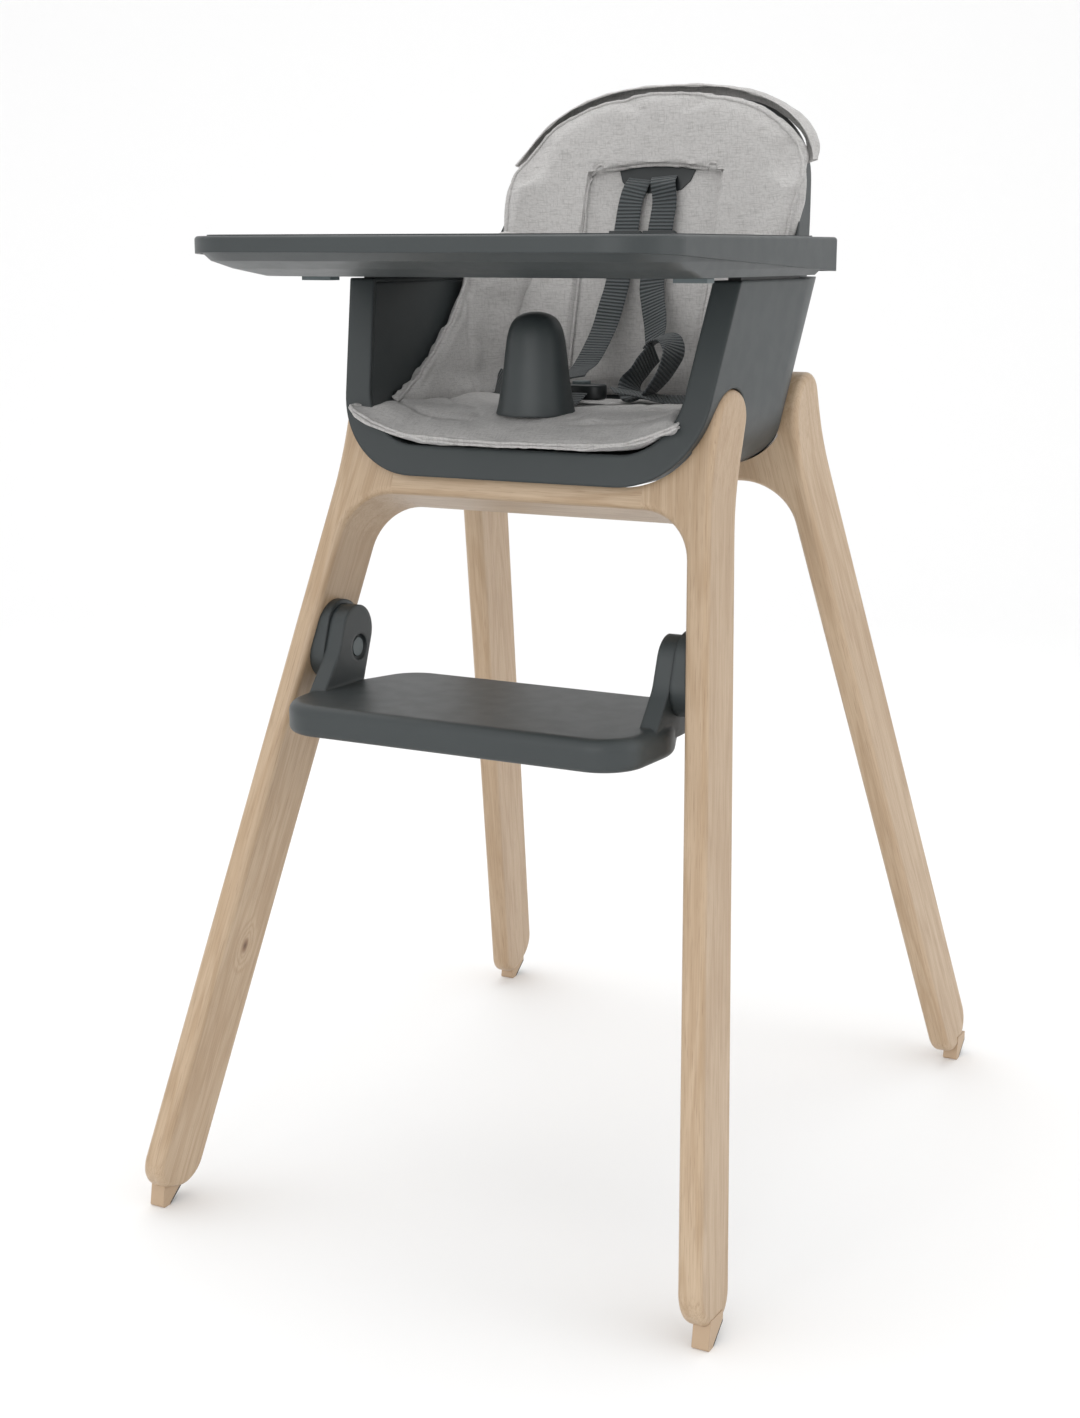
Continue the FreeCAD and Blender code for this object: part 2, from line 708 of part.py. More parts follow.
frame_pieces("front", front, fuse([bolt_space, front_dowels, mount_screws]))
frame_pieces("rear", rear, fuse([bolt_space, rear_dowels]))


# ---------------------------------------------------------------- tray

def tray_side(y, inset):
    """The tray's half width, which narrows a little towards the rear."""
    taper = (D.tray_half_front - D.tray_half_rear) / (D.tray_rear_y - D.tray_front_y)
    return D.tray_half_front - taper * (size(y) - D.tray_front_y) - inset


def tray_outline(side_inset, front_inset):
    front_y, rear_y = D.tray_front_y + front_inset, D.tray_rear_y - side_inset
    corner = D.tray_front_round - side_inset
    return mirrored([(tray_side(front_y, side_inset), front_y, corner),
                     (tray_side(rear_y, side_inset), rear_y, D.tray_rear_round - 4)])


def belly(grow):
    """The hollow in the tray's rear edge where the child sits, wider by grow."""
    half, front_y = D.belly_half + grow, D.belly_y - grow
    return mirrored([(half, front_y, D.belly_round + grow), (half, D.tray_rear_y + 40)])


def with_belly(inset, rear_inset):
    """The tray's outline with the hollow taken out, inset all round."""
    rear_y, half = D.tray_rear_y - rear_inset, D.belly_half + inset
    return mirrored([(tray_side(D.tray_front_y + inset, inset), D.tray_front_y + inset,
                      D.tray_front_round - inset),
                     (tray_side(rear_y, inset), rear_y, 5), (half, rear_y, 5),
                     (half, D.belly_y - inset, D.belly_round + inset)])


band_low, ahead_of_tray = D.tray_top - D.band_rear, D.tray_front_y - 2 * BEYOND
dish_floor, band_wall, shelf_rear = 2.6, 4, 25
tray = new_body("TrayBase")
pad(tray, "XY", band_low, D.tray_top, tray_outline(0, 0))
pocket(tray, "YZ", -260, 260, [
    (ahead_of_tray, band_low - BEYOND), (D.tray_rear_y + HAIR, band_low - BEYOND),
    (D.tray_rear_y, band_low), (ahead_of_tray, D.tray_top - D.band_front)])
pocket(tray, "XY", band_low - BEYOND, D.tray_top + BEYOND, belly(0))
floor_low = D.tray_top - D.recess_deep - dish_floor
recess_rear = D.recess_inset + shelf_rear
pocket(tray, "XY", D.tray_top - D.recess_deep, D.tray_top + BEYOND,
       with_belly(D.recess_inset, recess_rear))
pocket(tray, "XY", band_low - BEYOND, floor_low, with_belly(band_wall, band_wall))


def on_tray_rim(edge):
    """Whether an edge runs round the outside of the tray's top."""
    sides, front, rear, corner_side, corner_front = 200, -318, 45, 190, -305
    spot, across = middle(edge), abs(middle(edge).x)
    at_top = abs(spot.z - D.tray_top.value) < HAIR
    on_corner = across > corner_side and spot.y < corner_front
    return at_top and (across > sides or spot.y < front or spot.y > rear or on_corner)


tray_rim_round = 3
soften(tray, tray_rim_round, on_tray_rim)
node("tray_base", tray)

cover = new_body("TrayCover")
cover_gap, cover_low, cover_rim, cover_lip = 0.6, D.tray_top - D.recess_deep + 0.3, 4, 1
cover_inset, cover_rear = D.recess_inset + cover_gap, recess_rear + cover_gap
pad(cover, "XY", cover_low, D.tray_top + cover_lip, with_belly(cover_inset, cover_rear))
pocket(cover, "XY", cover_low + D.cover_wall, D.tray_top + BEYOND,
       with_belly(cover_inset + cover_rim, cover_rear + cover_rim))
node("tray_cover", cover)

# The underside's hull: (drop from its top, side inset, front inset) of each section.
wall, lip = D.hull_wall, 4.6
hull_top, hull_low = floor_low - 0.2, D.hull_low
HULL = [(hull_top, lip, lip), (hull_top - 7, 6, 16), (hull_top - 13, 9, 42), (hull_low, 14, 84)]
HOLLOW = [(hull_top + 1, lip, lip), (hull_top - 6, 6, 18), (hull_top - 11, 9, 46),
          (hull_low + wall, 14, 84)]
hull = new_body("TrayHull")
loft(hull, [(up, tray_outline(aside, ahead)) for up, aside, ahead in HULL])
pocket(hull, "XY", hull_low - BEYOND, hull_top + BEYOND, belly(lip))
inside = new_body("HullInside")
loft(inside, [(up, tray_outline(wall + aside, wall + ahead)) for up, aside, ahead in HOLLOW])
pocket(inside, "XY", hull_low - BEYOND, hull_top + 2 * BEYOND, belly(lip + wall))

# Runners on the seat's side walls carry the tray, with notches for each lever's tooth.
runner_low, runner_high = D.bucket_rim, hull_low - 0.3
runner_in, runner_out, runner_front, runner_rear = 164, 175, -96, 35
notch_y, notch_half, notch_step, notch_deep, notches_made = -58, 4.5, 35, 4, 3
tooth_half, tooth_gap = 4, 0.4
grip_y, lever_move, slot_gap = -172, 5, 0.5
lever_in, lever_out, lever_thick = 158, 178, 4
grip_in, grip_out, neck_in, neck_out = 154, 182, 160, 176
lever_low = hull_low + wall + slot_gap
slots, runners = [], []
for side, hand in SIDES:
    node(f"tray_lever_{hand}", fuse([
        block(side, lever_in, grip_y - 8, lever_low,
              lever_out, notch_y + tooth_half, lever_low + lever_thick),
        block(side, grip_in, grip_y - 9, hull_low - 4, grip_out, grip_y + 5, hull_low - 0.4),
        block(side, neck_in, grip_y - 6, hull_low - 1, neck_out, grip_y + 2, lever_low + 1),
        block(side, lever_in, notch_y - tooth_half, D.bucket_rim + tooth_gap,
              runner_in - tooth_gap, notch_y + tooth_half, lever_low + 1)]))
    slots += [
        block(side, neck_in - lever_move - slot_gap, grip_y - 6 - slot_gap, hull_low - 2,
              neck_out + slot_gap, grip_y + 2 + slot_gap, lever_low),
        block(side, lever_in - lever_move - slot_gap, notch_y - tooth_half - slot_gap,
              hull_low - 2, runner_in + 0.1, notch_y + tooth_half + slot_gap, lever_low)]
    runner = block(side, runner_in, runner_front, runner_low,
                   runner_out, runner_rear, runner_high)
    notch_places = [notch_y + notch_step * i for i in range(notches_made)]
    notches = [block(side, runner_in - 1, y - notch_half, runner_low - 1,
                     runner_in + notch_deep, y + notch_half, runner_high + 1)
               for y in notch_places]
    runners.append(combine("Cut", runner, fuse(notches)))
node("tray_underside", combine("Cut", combine("Cut", hull, inside), fuse(slots)))
group("tray_runners", runners)


# ---------------------------------------------------------------- cushions

cushion_gap = 0.6
back_thick, back_low, back_high = 15, 700, 957
BACK_EDGE = [(112, 695), (150, 800), (150, 958, 92)]
seat_low, seat_high = D.bucket_low + D.floor_thick + cushion_gap, size(677)
SEAT_SECTION = [(100, seat_low, 20), (134, seat_high)]
seat_front, seat_rear = -164, 58
wing_in, wing_out, wing_thick = 128, 157, 11
WING_SIDE = [(-112, seat_high + 1), (30, seat_high + 1), (52, 775), (36, 783, 8), (-27, 733, 20)]


def seat_line(up, ahead):
    """Y at a height, a distance ahead of the bucket's inner back."""
    return back_at(size(up), D.wall_back) - ahead


def across_seat(up_low, up_high, ahead, thick):
    """Side view of a flat thing lying along the bucket's leaning back."""
    return [(seat_line(up_low, ahead + thick), up_low), (seat_line(up_low, ahead), up_low),
            (seat_line(up_high, ahead), up_high), (seat_line(up_high, ahead + thick), up_high)]


back = new_body("BackCushion")
pad(back, "YZ", -152, 152, across_seat(back_low, back_high, cushion_gap, back_thick))
keep_inside(back, "XZ", -200, 300, mirrored(BACK_EDGE))
node("back_cushion", combine("Common", back, seat_space))
seat = new_body("SeatCushion")
pad(seat, "XZ", seat_front, seat_rear, mirrored(SEAT_SECTION))
node("seat_cushion", combine("Common", seat, seat_space))
for side, hand in SIDES:
    wing = new_body("Wing")
    pad(wing, "YZ", *on_side(side, wing_in, wing_out), WING_SIDE)
    hollow = cavity(f"WingHollow{hand}", size(-wing_thick))
    outside = cavity(f"WingFace{hand}", size(-cushion_gap))
    wing = combine("Cut", combine("Common", wing, outside), hollow)
    node(f"side_cushion_{hand}", combine("Cut", wing, through(bolt_head_r + 1, shell_reach)))

# The post between the child's legs: (height, half width, half depth) of each section.
POST = [(seat_high + 0.5, 37, 34), (seat_high + 10, 31, 29), (705, 27, 26), (735, 25, 24),
        (750, 21, 20), (756, 14, 13)]
post_y, post_round = -110, 0.8
post = new_body("CrotchPost")
loft(post, [(up, rectangle(-half, post_y - deep, half, post_y + deep, half * post_round))
            for up, half, deep in POST])
node("crotch_post", post)


# ---------------------------------------------------------------- harness

web_thick, web_half = 2, 12
left_strap_x, right_strap_x = 14, -20
strap_top, strap_bend = 868, (86, 775)
LEFT_SHOULDER_END = [(58, 741)]
RIGHT_SHOULDER_END = [(66, 722), (-5, 704), (-17, 701)]
RIGHT_WAIST = [(-117, 56), (-60, 20), (-22, -30)]
LEFT_WAIST_OUTER, LEFT_WAIST_INNER = [(117, 56), (77, 36)], [(46, 18), (37, -8), (30, -32)]
CROTCH = [(-68, 680), (-48, 688)]


def ribbon(path, thick=web_thick):
    """The edge outline of a flat strap that follows a path of (across, along) points."""
    points = [Vector(size(a).value, size(b).value, 0) for a, b in path]
    normals = []
    for i in range(len(points)):
        runs = [(points[j + 1] - points[j]).normalize()
                for j in (i - 1, i) if 0 <= j < len(points) - 1]
        along = (runs[0] + runs[-1]).normalize()
        widen = 1 / math.cos(runs[0].getAngle(runs[-1]) / 2)
        normals.append(Vector(-along.y, along.x, 0) * (widen * thick / 2))
    one = [(p.x + n.x, p.y + n.y) for p, n in zip(points, normals)]
    other = [(p.x - n.x, p.y - n.y) for p, n in zip(points, normals)]
    return one + other[::-1]


def band(plane, low, high, path):
    """A strap bent along a path in one plane and as wide as low to high across it."""
    body = new_body("Band")
    pad(body, plane, low, high, ribbon(path))
    return body


plate_ahead, plate_thick, plate_half = back_thick + cushion_gap + 0.3, 3, 38
plate_low, plate_high = 860, 886
plate = new_body("SlotPlate")
pad(plate, "YZ", -plate_half, plate_half,
    across_seat(plate_low, plate_high, plate_ahead, plate_thick))
node("harness_slot_plate", plate)
strap_start = (seat_line(strap_top, plate_ahead + plate_thick + 1.5), strap_top)
node("shoulder_strap_left", band("YZ", left_strap_x - web_half, left_strap_x + web_half,
                                 [strap_start, strap_bend] + LEFT_SHOULDER_END))
node("shoulder_strap_right", band("YZ", right_strap_x - web_half, right_strap_x + web_half,
                                  [strap_start, strap_bend] + RIGHT_SHOULDER_END))

strap_slope = (strap_start[0].value - strap_bend[0]) / (strap_top - strap_bend[1])
adjuster_up, adjuster_half, adjuster_tall, adjuster_deep = 815, 16, 11, 3
web_gap, web_slot = 0.6, web_thick / 2 + 0.4
adjuster_y = strap_bend[0] + strap_slope * (adjuster_up - strap_bend[1])
for hand, x in (("left", left_strap_x), ("right", right_strap_x)):
    adjuster = new_body("Adjuster")
    pad(adjuster, "XY", -adjuster_tall, adjuster_tall,
        rectangle(-adjuster_half, -adjuster_deep, adjuster_half, adjuster_deep, 1))
    pocket(adjuster, "XY", -adjuster_tall - 1, adjuster_tall + 1,
           rectangle(-web_half - web_gap, -web_slot, web_half + web_gap, web_slot))
    tilt = Rotation(Vector(-1, 0, 0), math.degrees(math.atan(strap_slope)))
    node(f"strap_adjuster_{hand}", place(adjuster, x, adjuster_y, adjuster_up, tilt))

loop_x, loop_y, loop_up, loop_r, loop_wall = 48, 20, 709, 26, 2.5
node("hip_loop", combine(
    "Cut", cylinder(loop_r, 2 * web_half, loop_x, loop_y, loop_up, "Y"),
    cylinder(loop_r - loop_wall, 2 * web_half + 2, loop_x, loop_y - 1, loop_up, "Y")))
web_low, web_high = seat_high + 2.5, 697
node("waist_strap_right", band("XY", web_low, web_high, RIGHT_WAIST))
group("waist_strap_left", [band("XY", web_low, web_high, path)
                           for path in (LEFT_WAIST_OUTER, LEFT_WAIST_INNER)])
buckle_x, buckle_half, buckle_front, buckle_rear = 4, 24, -46, -20
node("crotch_strap", band("YZ", buckle_x - web_half, buckle_x + web_half, CROTCH))

buckle_up, buckle_high, buckle_corner, buckle_round = 684, 698, 6, 2
press_r, press_y, press_deep, press_gap, press_proud = 8, -33, 7, 3, 1.5
buckle = new_body("Buckle")
pad(buckle, "XY", buckle_up, buckle_high,
    rectangle(buckle_x - buckle_half, buckle_front, buckle_x + buckle_half, buckle_rear,
              buckle_corner))
soften(buckle, buckle_round, lambda edge: abs(middle(edge).z - buckle_high) < HAIR)
press_low = buckle_high - press_deep
node("buckle_body", combine("Cut", buckle, cylinder(
    press_r + D.button_gap, press_deep + 1, buckle_x, press_y, press_low)))
node("buckle_button", cylinder(press_r, press_deep - press_gap + press_proud,
                               buckle_x, press_y, press_low + press_gap))


# ---------------------------------------------------------------- export

doc.recompute()
failed = [f"{made.Name} ({made.Label}) of {[other.Label for other in made.OutList]}"
          for made in doc.Objects if "Invalid" in made.State or "Error" in made.State]
if failed:
    raise RuntimeError(f"did not compute: {failed}")
broken = [name for name, made in NODES.items()
          if made.Shape.isNull() or not made.Shape.isValid() or not made.Shape.Solids]
if broken:
    raise RuntimeError(f"no valid shape: {broken}")
for name, made in NODES.items():
    made.Shape.exportStep(f"parts/{name}.step")
print(len(NODES), "nodes")
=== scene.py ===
"""Looks of the baby high chair: wood, moulded plastic, quilted cushions and harness webbing.

Everything is in metres in the CAD model's own frame: +Z up, the chair faces -Y, and +X is the
seated child's left.
"""

import math

import bmesh
import bpy
import numpy as np
from mathutils import Euler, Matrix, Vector, noise
from mathutils.bvhtree import BVHTree


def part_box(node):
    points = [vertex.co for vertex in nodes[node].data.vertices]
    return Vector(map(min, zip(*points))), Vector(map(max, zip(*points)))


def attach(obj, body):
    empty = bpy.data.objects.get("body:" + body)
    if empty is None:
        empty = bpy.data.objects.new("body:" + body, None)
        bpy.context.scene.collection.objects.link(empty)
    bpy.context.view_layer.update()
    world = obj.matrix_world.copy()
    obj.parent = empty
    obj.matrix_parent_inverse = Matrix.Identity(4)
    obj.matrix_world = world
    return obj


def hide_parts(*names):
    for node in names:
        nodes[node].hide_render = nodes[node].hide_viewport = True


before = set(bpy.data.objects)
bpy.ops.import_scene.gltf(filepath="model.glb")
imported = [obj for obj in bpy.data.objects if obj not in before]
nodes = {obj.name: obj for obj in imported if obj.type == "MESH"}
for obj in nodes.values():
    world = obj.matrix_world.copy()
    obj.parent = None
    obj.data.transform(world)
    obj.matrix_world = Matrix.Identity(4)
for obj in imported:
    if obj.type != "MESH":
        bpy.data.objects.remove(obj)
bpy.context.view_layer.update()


# ---------------------------------------------------------------- shader building

class Look:
    """A Principled material, and short calls that add nodes to it."""

    def __init__(self, name, roughness, **settings):
        self.material = bpy.data.materials.new(name)
        self.material.use_nodes = True
        self.tree = self.material.node_tree
        self.surface = self.tree.nodes["Principled BSDF"]
        self.surface.inputs["Roughness"].default_value = roughness
        for socket, value in settings.items():
            self.surface.inputs[socket.replace("_", " ")].default_value = value
        self.place = self.add("ShaderNodeTexCoord").outputs["Object"]

    def add(self, kind, inputs=None, **settings):
        made = self.tree.nodes.new(kind)
        for key, value in settings.items():
            setattr(made, key, value)
        for key, value in (inputs or {}).items():
            self.feed(made.inputs[key], value)
        return made

    def feed(self, socket, value):
        if isinstance(value, bpy.types.NodeSocket):
            self.tree.links.new(value, socket)
        else:
            socket.default_value = value

    def math(self, operation, a, b=0.0):
        return self.add("ShaderNodeMath", {0: a, 1: b}, operation=operation).outputs[0]

    def turned(self, source, rotation):
        return self.add("ShaderNodeMapping", {"Vector": source, "Rotation": rotation}).outputs[0]

    def scaled(self, source, scale, shift=(0, 0, 0)):
        made = self.add("ShaderNodeMapping", {"Vector": source, "Scale": scale, "Location": shift})
        return made.outputs[0]

    def noise(self, source, scale=1.0, detail=2.0, rough=0.5):
        made = self.add("ShaderNodeTexNoise", {"Vector": source, "Scale": scale, "Detail": detail,
                                               "Roughness": rough})
        return made.outputs[0]

    def ramp(self, value, low, high, to_low=0.0, to_high=1.0):
        made = self.add("ShaderNodeMapRange", {"Value": value, "From Min": low, "From Max": high,
                                               "To Min": to_low, "To Max": to_high})
        made.interpolation_type = "SMOOTHSTEP"
        return made.outputs[0]

    def mix(self, factor, a, b):
        made = self.add("ShaderNodeMix", data_type="RGBA")
        self.feed(made.inputs[0], factor)
        self.feed(made.inputs[6], a)
        self.feed(made.inputs[7], b)
        return made.outputs[2]

    def color(self, value):
        self.feed(self.surface.inputs["Base Color"], value)

    def rough(self, value):
        self.feed(self.surface.inputs["Roughness"], value)

    def bump(self, height, distance, strength=1.0, round_edges=0.0):
        made = self.add("ShaderNodeBump", {"Height": height, "Distance": distance,
                                           "Strength": strength})
        if round_edges:
            bevel = self.add("ShaderNodeBevel", {"Radius": round_edges}, samples=4)
            self.feed(made.inputs["Normal"], bevel.outputs[0])
        self.feed(self.surface.inputs["Normal"], made.outputs[0])


def rgb(red, green, blue):
    """A display colour from 0 to 255 as linear light."""
    return tuple((c / 255) ** 2.2 for c in (red, green, blue)) + (1,)


def shade(color, factor):
    """A colour made lighter or darker."""
    return tuple(min(1, c * factor) for c in color[:3]) + (1,)


# ---------------------------------------------------------------- materials

def wood(name, along, knots=(), shift=0.0):
    """Lacquered pale wood with its grain along a direction, and small brown knots."""
    look = Look(name, 0.42, Coat_Weight=0.12, Coat_Roughness=0.35)
    turn = Vector(along).normalized().rotation_difference(Vector((0, 0, 1))).to_euler()
    grain = look.turned(look.place, turn)
    grain = look.scaled(grain, (1, 1, 1), (shift, shift * 0.7, shift * 3))
    figure = look.noise(look.scaled(grain, (14, 14, 1.6)), detail=3)
    rings = look.math("ADD", look.noise(look.scaled(grain, (60, 60, 3.0)), detail=2),
                      look.math("MULTIPLY", figure, 3.2))
    for knot in knots:
        spot = Vector(knot)
        spot.rotate(Euler(turn))
        spot += Vector((shift, shift * 0.7, shift * 3))
        away = look.add("ShaderNodeVectorMath", {0: grain, 1: spot},
                        operation="SUBTRACT").outputs[0]
        away = look.add("ShaderNodeVectorMath", {0: look.scaled(away, (1, 1, 0.55))},
                        operation="LENGTH").outputs["Value"]
        near = look.ramp(away, 0.0, 0.016, 1.0, 0.0)
        rings = look.math("ADD", rings, look.math("MULTIPLY", near, 0.9))
    lines = look.math("PINGPONG", look.math("MULTIPLY", rings, 7.0), 1.0)
    fibres = look.noise(look.scaled(grain, (900, 900, 14)), detail=3, rough=0.65)
    pores = look.ramp(look.noise(look.scaled(grain, (1500, 1500, 45)), detail=1), 0.60, 0.72)
    cloud = look.noise(look.scaled(grain, (9, 9, 2.2)), detail=2)
    tone = look.mix(look.ramp(cloud, 0.3, 0.7), rgb(190, 167, 140), rgb(178, 153, 125))
    tone = look.mix(look.math("MULTIPLY", look.ramp(lines, 0.25, 0.95), 0.55), tone,
                    rgb(166, 139, 109))
    tone = look.mix(look.ramp(fibres, 0.35, 0.75, 0.0, 0.50), tone, rgb(152, 126, 98))
    tone = look.mix(look.math("MULTIPLY", pores, 0.35), tone, rgb(128, 99, 73))
    for knot in knots:
        spot = Vector(knot)
        away = look.add("ShaderNodeVectorMath", {0: look.place, 1: spot},
                        operation="SUBTRACT").outputs[0]
        away = look.turned(away, turn)
        away = look.add("ShaderNodeVectorMath", {0: look.scaled(away, (1, 1, 0.6))},
                        operation="LENGTH").outputs["Value"]
        uneven = look.math("ADD", away, look.math("MULTIPLY", look.ramp(fibres, 0.3, 0.7), 0.0012))
        tone = look.mix(look.ramp(uneven, 0.0026, 0.0062, 0.8, 0.0), tone, rgb(118, 84, 56))
        tone = look.mix(look.ramp(uneven, 0.0012, 0.0030, 0.9, 0.0), tone, rgb(60, 36, 22))
    look.color(tone)
    look.rough(look.ramp(fibres, 0.3, 0.7, 0.38, 0.50))
    height = look.math("ADD", look.math("MULTIPLY", fibres, 0.6),
                       look.math("MULTIPLY", pores, -0.5))
    look.bump(height, 0.00012)
    return look.material


def moulded(name, base, roughness=0.46, grain=2600, round_edges=0.0):
    """Matte moulded plastic: a fine spark-eroded grain, slight tone changes and faint rubbing."""
    look = Look(name, roughness, IOR=1.5)
    tone = look.noise(look.place, 7, 3)
    worn = look.ramp(look.noise(look.place, 38, 4, 0.6), 0.52, 0.75)
    light, dark = shade(base, 1.08), shade(base, 0.95)
    color = look.mix(look.ramp(tone, 0.3, 0.7), dark, light)
    look.color(look.mix(look.math("MULTIPLY", worn, 0.10), color, light))
    look.rough(look.ramp(look.noise(look.place, 60, 3), 0.3, 0.7, roughness - 0.015,
                         roughness + 0.025))
    look.bump(look.noise(look.place, grain, 2), 0.00005, 0.8, round_edges)
    return look.material


def cloth(name, across, up, light, dark, thread=0.00085):
    """Heathered plain-weave cloth. across and up are the thread directions in the chair's frame."""
    look = Look(name, 0.92, Sheen_Weight=0.28, Sheen_Roughness=0.5)
    look.surface.inputs["Specular IOR Level"].default_value = 0.2

    def along(direction):
        return look.add("ShaderNodeVectorMath", {0: look.place, 1: Vector(direction).normalized()},
                        operation="DOT_PRODUCT").outputs["Value"]

    a, b = along(across), along(up)
    wave_a = look.math("SINE", look.math("MULTIPLY", a, 2 * math.pi / thread))
    wave_b = look.math("SINE", look.math("MULTIPLY", b, 2 * math.pi / thread))
    over = look.ramp(look.math("MULTIPLY", wave_a, wave_b), -0.4, 0.4)
    weave = look.add("ShaderNodeMix", {0: over, 2: look.math("ABSOLUTE", wave_a),
                                       3: look.math("ABSOLUTE", wave_b)}).outputs[0]
    flat = look.add("ShaderNodeCombineXYZ", {0: a, 1: b}).outputs[0]
    slub_a = look.noise(look.scaled(flat, (90, 1500, 1)), detail=2)
    slub_b = look.noise(look.scaled(flat, (1500, 90, 1), (3, 5, 0)), detail=2)
    heather = look.noise(look.scaled(flat, (420, 420, 1)), detail=3, rough=0.7)
    cloud = look.noise(look.place, 14, 2)
    tone = look.mix(look.ramp(cloud, 0.3, 0.7, 0.0, 0.35), light, shade(light, 0.86))
    tone = look.mix(look.ramp(slub_a, 0.50, 0.72, 0.0, 0.55), tone, dark)
    tone = look.mix(look.ramp(slub_b, 0.52, 0.74, 0.0, 0.45), tone, dark)
    tone = look.mix(look.ramp(heather, 0.40, 0.70, 0.0, 0.30), tone, dark)
    tone = look.mix(look.ramp(weave, 0.0, 0.6, 0.35, 0.0), tone, dark)
    look.color(tone)
    height = look.math("ADD", weave, look.math("MULTIPLY", look.math("ADD", slub_a, slub_b), 0.8))
    look.bump(height, 0.00022, 0.9)
    return look.material


def webbing(name, base):
    """Ribbed polyester webbing, with painted shade in the grooves between its ribs. Its UV map is
    in metres: U across the strap and V along it.
    """
    rib_pitch = 0.0034
    look = Look(name, 0.62, Sheen_Weight=0.15)
    uv = look.add("ShaderNodeUVMap", uv_map="UVMap").outputs[0]
    split = look.add("ShaderNodeSeparateXYZ", {0: uv})
    ribs = look.math("SINE", look.math("MULTIPLY", split.outputs[1], 2 * math.pi / rib_pitch))
    fine = look.noise(look.scaled(uv, (3200, 900, 1)), detail=2)
    # painted shade: the grooves between the ribs are coloured darker, as if in shadow; the ribs'
    # real relief is the bump below
    tone = look.mix(look.ramp(ribs, -0.8, 0.7), shade(base, 0.30), base)
    tone = look.mix(look.ramp(fine, 0.35, 0.7, 0.0, 0.4), tone, shade(base, 1.7))
    look.color(tone)
    look.bump(look.math("ADD", ribs, look.math("MULTIPLY", fine, 0.5)), 0.0005, 1.0)
    return look.material


def metal(name):
    """Zinc-plated steel with faint turning marks."""
    look = Look(name, 0.32, Metallic=1.0)
    lines = look.noise(look.scaled(look.place, (2500, 300, 2500)), detail=2)
    look.color(look.mix(look.ramp(lines, 0.3, 0.7), (0.42, 0.43, 0.44, 1), (0.60, 0.60, 0.60, 1)))
    look.rough(look.ramp(lines, 0.3, 0.7, 0.25, 0.42))
    look.bump(lines, 0.00003)
    return look.material


def rubber(name):
    look = Look(name, 0.8)
    dust = look.noise(look.place, 160, 4, 0.7)
    look.color(look.mix(look.ramp(dust, 0.4, 0.75), (0.055, 0.05, 0.045, 1), (0.11, 0.10, 0.09, 1)))
    look.bump(look.noise(look.place, 1400, 2), 0.0001)
    return look.material


SLATE = rgb(53, 58, 59)
DARK = rgb(34, 38, 39)
CLOTH_LIGHT, CLOTH_DARK = rgb(202, 200, 198), rgb(142, 140, 138)
lean = math.tan(math.radians(18.54))
splay = 0.1421

shell_look = moulded("slate_plastic", SLATE, 0.44, round_edges=0.0040)
tray_look = moulded("tray_plastic", SLATE, 0.42, round_edges=0.0012)
dark_look = moulded("dark_plastic", DARK, 0.38, grain=1800)
button_look = moulded("button_plastic", rgb(92, 102, 104), 0.4, round_edges=0.0006)
steel_look = metal("plated_steel")
sole_look = rubber("sole_rubber")
web_look = webbing("strap_webbing", rgb(56, 62, 64))
toe_look = moulded("toe_plastic", rgb(182, 157, 130), 0.5, round_edges=0.001)
back_cloth = cloth("back_cloth", (1, 0.8, 0), (0, 0.29, 0.96), CLOTH_LIGHT, CLOTH_DARK)
seat_cloth = cloth("seat_cloth", (1, 0, 0), (0, 1, 0.9), CLOTH_LIGHT, CLOTH_DARK)
wing_cloth = cloth("wing_cloth", (0, 1, 0), (0, 0, 1), CLOTH_LIGHT, CLOTH_DARK)

front_knots = {"left": [(0.2125, -0.2675, 0.200)],
               "right": [(-0.2085, -0.2235, 0.334), (-0.2110, -0.2500, 0.220)]}
LOOKS = {
    "seat_shell": shell_look, "seat_liner": shell_look,
    "tray_base": tray_look, "tray_cover": tray_look, "tray_underside": tray_look,
    "footrest": shell_look, "footrest_mount_left": shell_look,
    "footrest_mount_right": shell_look, "tray_runners": dark_look,
    "tray_lever_left": button_look, "tray_lever_right": button_look,
    "footrest_button_left": button_look, "footrest_button_right": button_look,
    "buckle_button": button_look, "foot_soles": sole_look, "foot_toes": toe_look,
    "front_rail": wood("rail_wood_front", (1, 0, 0), shift=0.31),
    "rear_rail": wood("rail_wood_rear", (1, 0, 0), shift=0.57),
    "front_dowels": wood("dowel_wood", (1, 0, 0)),
    "rear_dowels": wood("dowel_wood_rear", (1, 0, 0)),
}
for sign, hand in ((1, "left"), (-1, "right")):
    LOOKS[f"front_leg_{hand}"] = wood(f"front_leg_wood_{hand}", (-sign * splay, lean, 1),
                                      front_knots[hand], shift=0.11 + sign * 0.05)
    LOOKS[f"rear_leg_{hand}"] = wood(f"rear_leg_wood_{hand}", (-sign * splay, -0.376, 1),
                                     shift=0.83 + sign * 0.21)
for metal_node in ("horn_bolts", "horn_inserts", "horn_spacers", "shell_screws", "mount_screws",
                   "footrest_spring_left", "footrest_spring_right"):
    LOOKS[metal_node] = steel_look


def dress(obj, material, smooth_angle=35):
    """One material on an object, and smooth shading except across its real edges."""
    mesh = obj.data
    mesh.materials.clear()
    mesh.materials.append(material)
    mesh.polygons.foreach_set("use_smooth", [True] * len(mesh.polygons))
    mesh.set_sharp_from_angle(angle=math.radians(smooth_angle))
    mesh.update()


for node_name, look in LOOKS.items():
    dress(nodes[node_name], look)


# ---------------------------------------------------------------- mesh helpers

def new_object(name, verts, faces):
    """An object of its own mesh, linked into the scene."""
    mesh = bpy.data.meshes.new(name)
    mesh.from_pydata([tuple(v) for v in verts], [], faces)
    mesh.validate()
    obj = bpy.data.objects.new(name, mesh)
    bpy.context.scene.collection.objects.link(obj)
    return obj


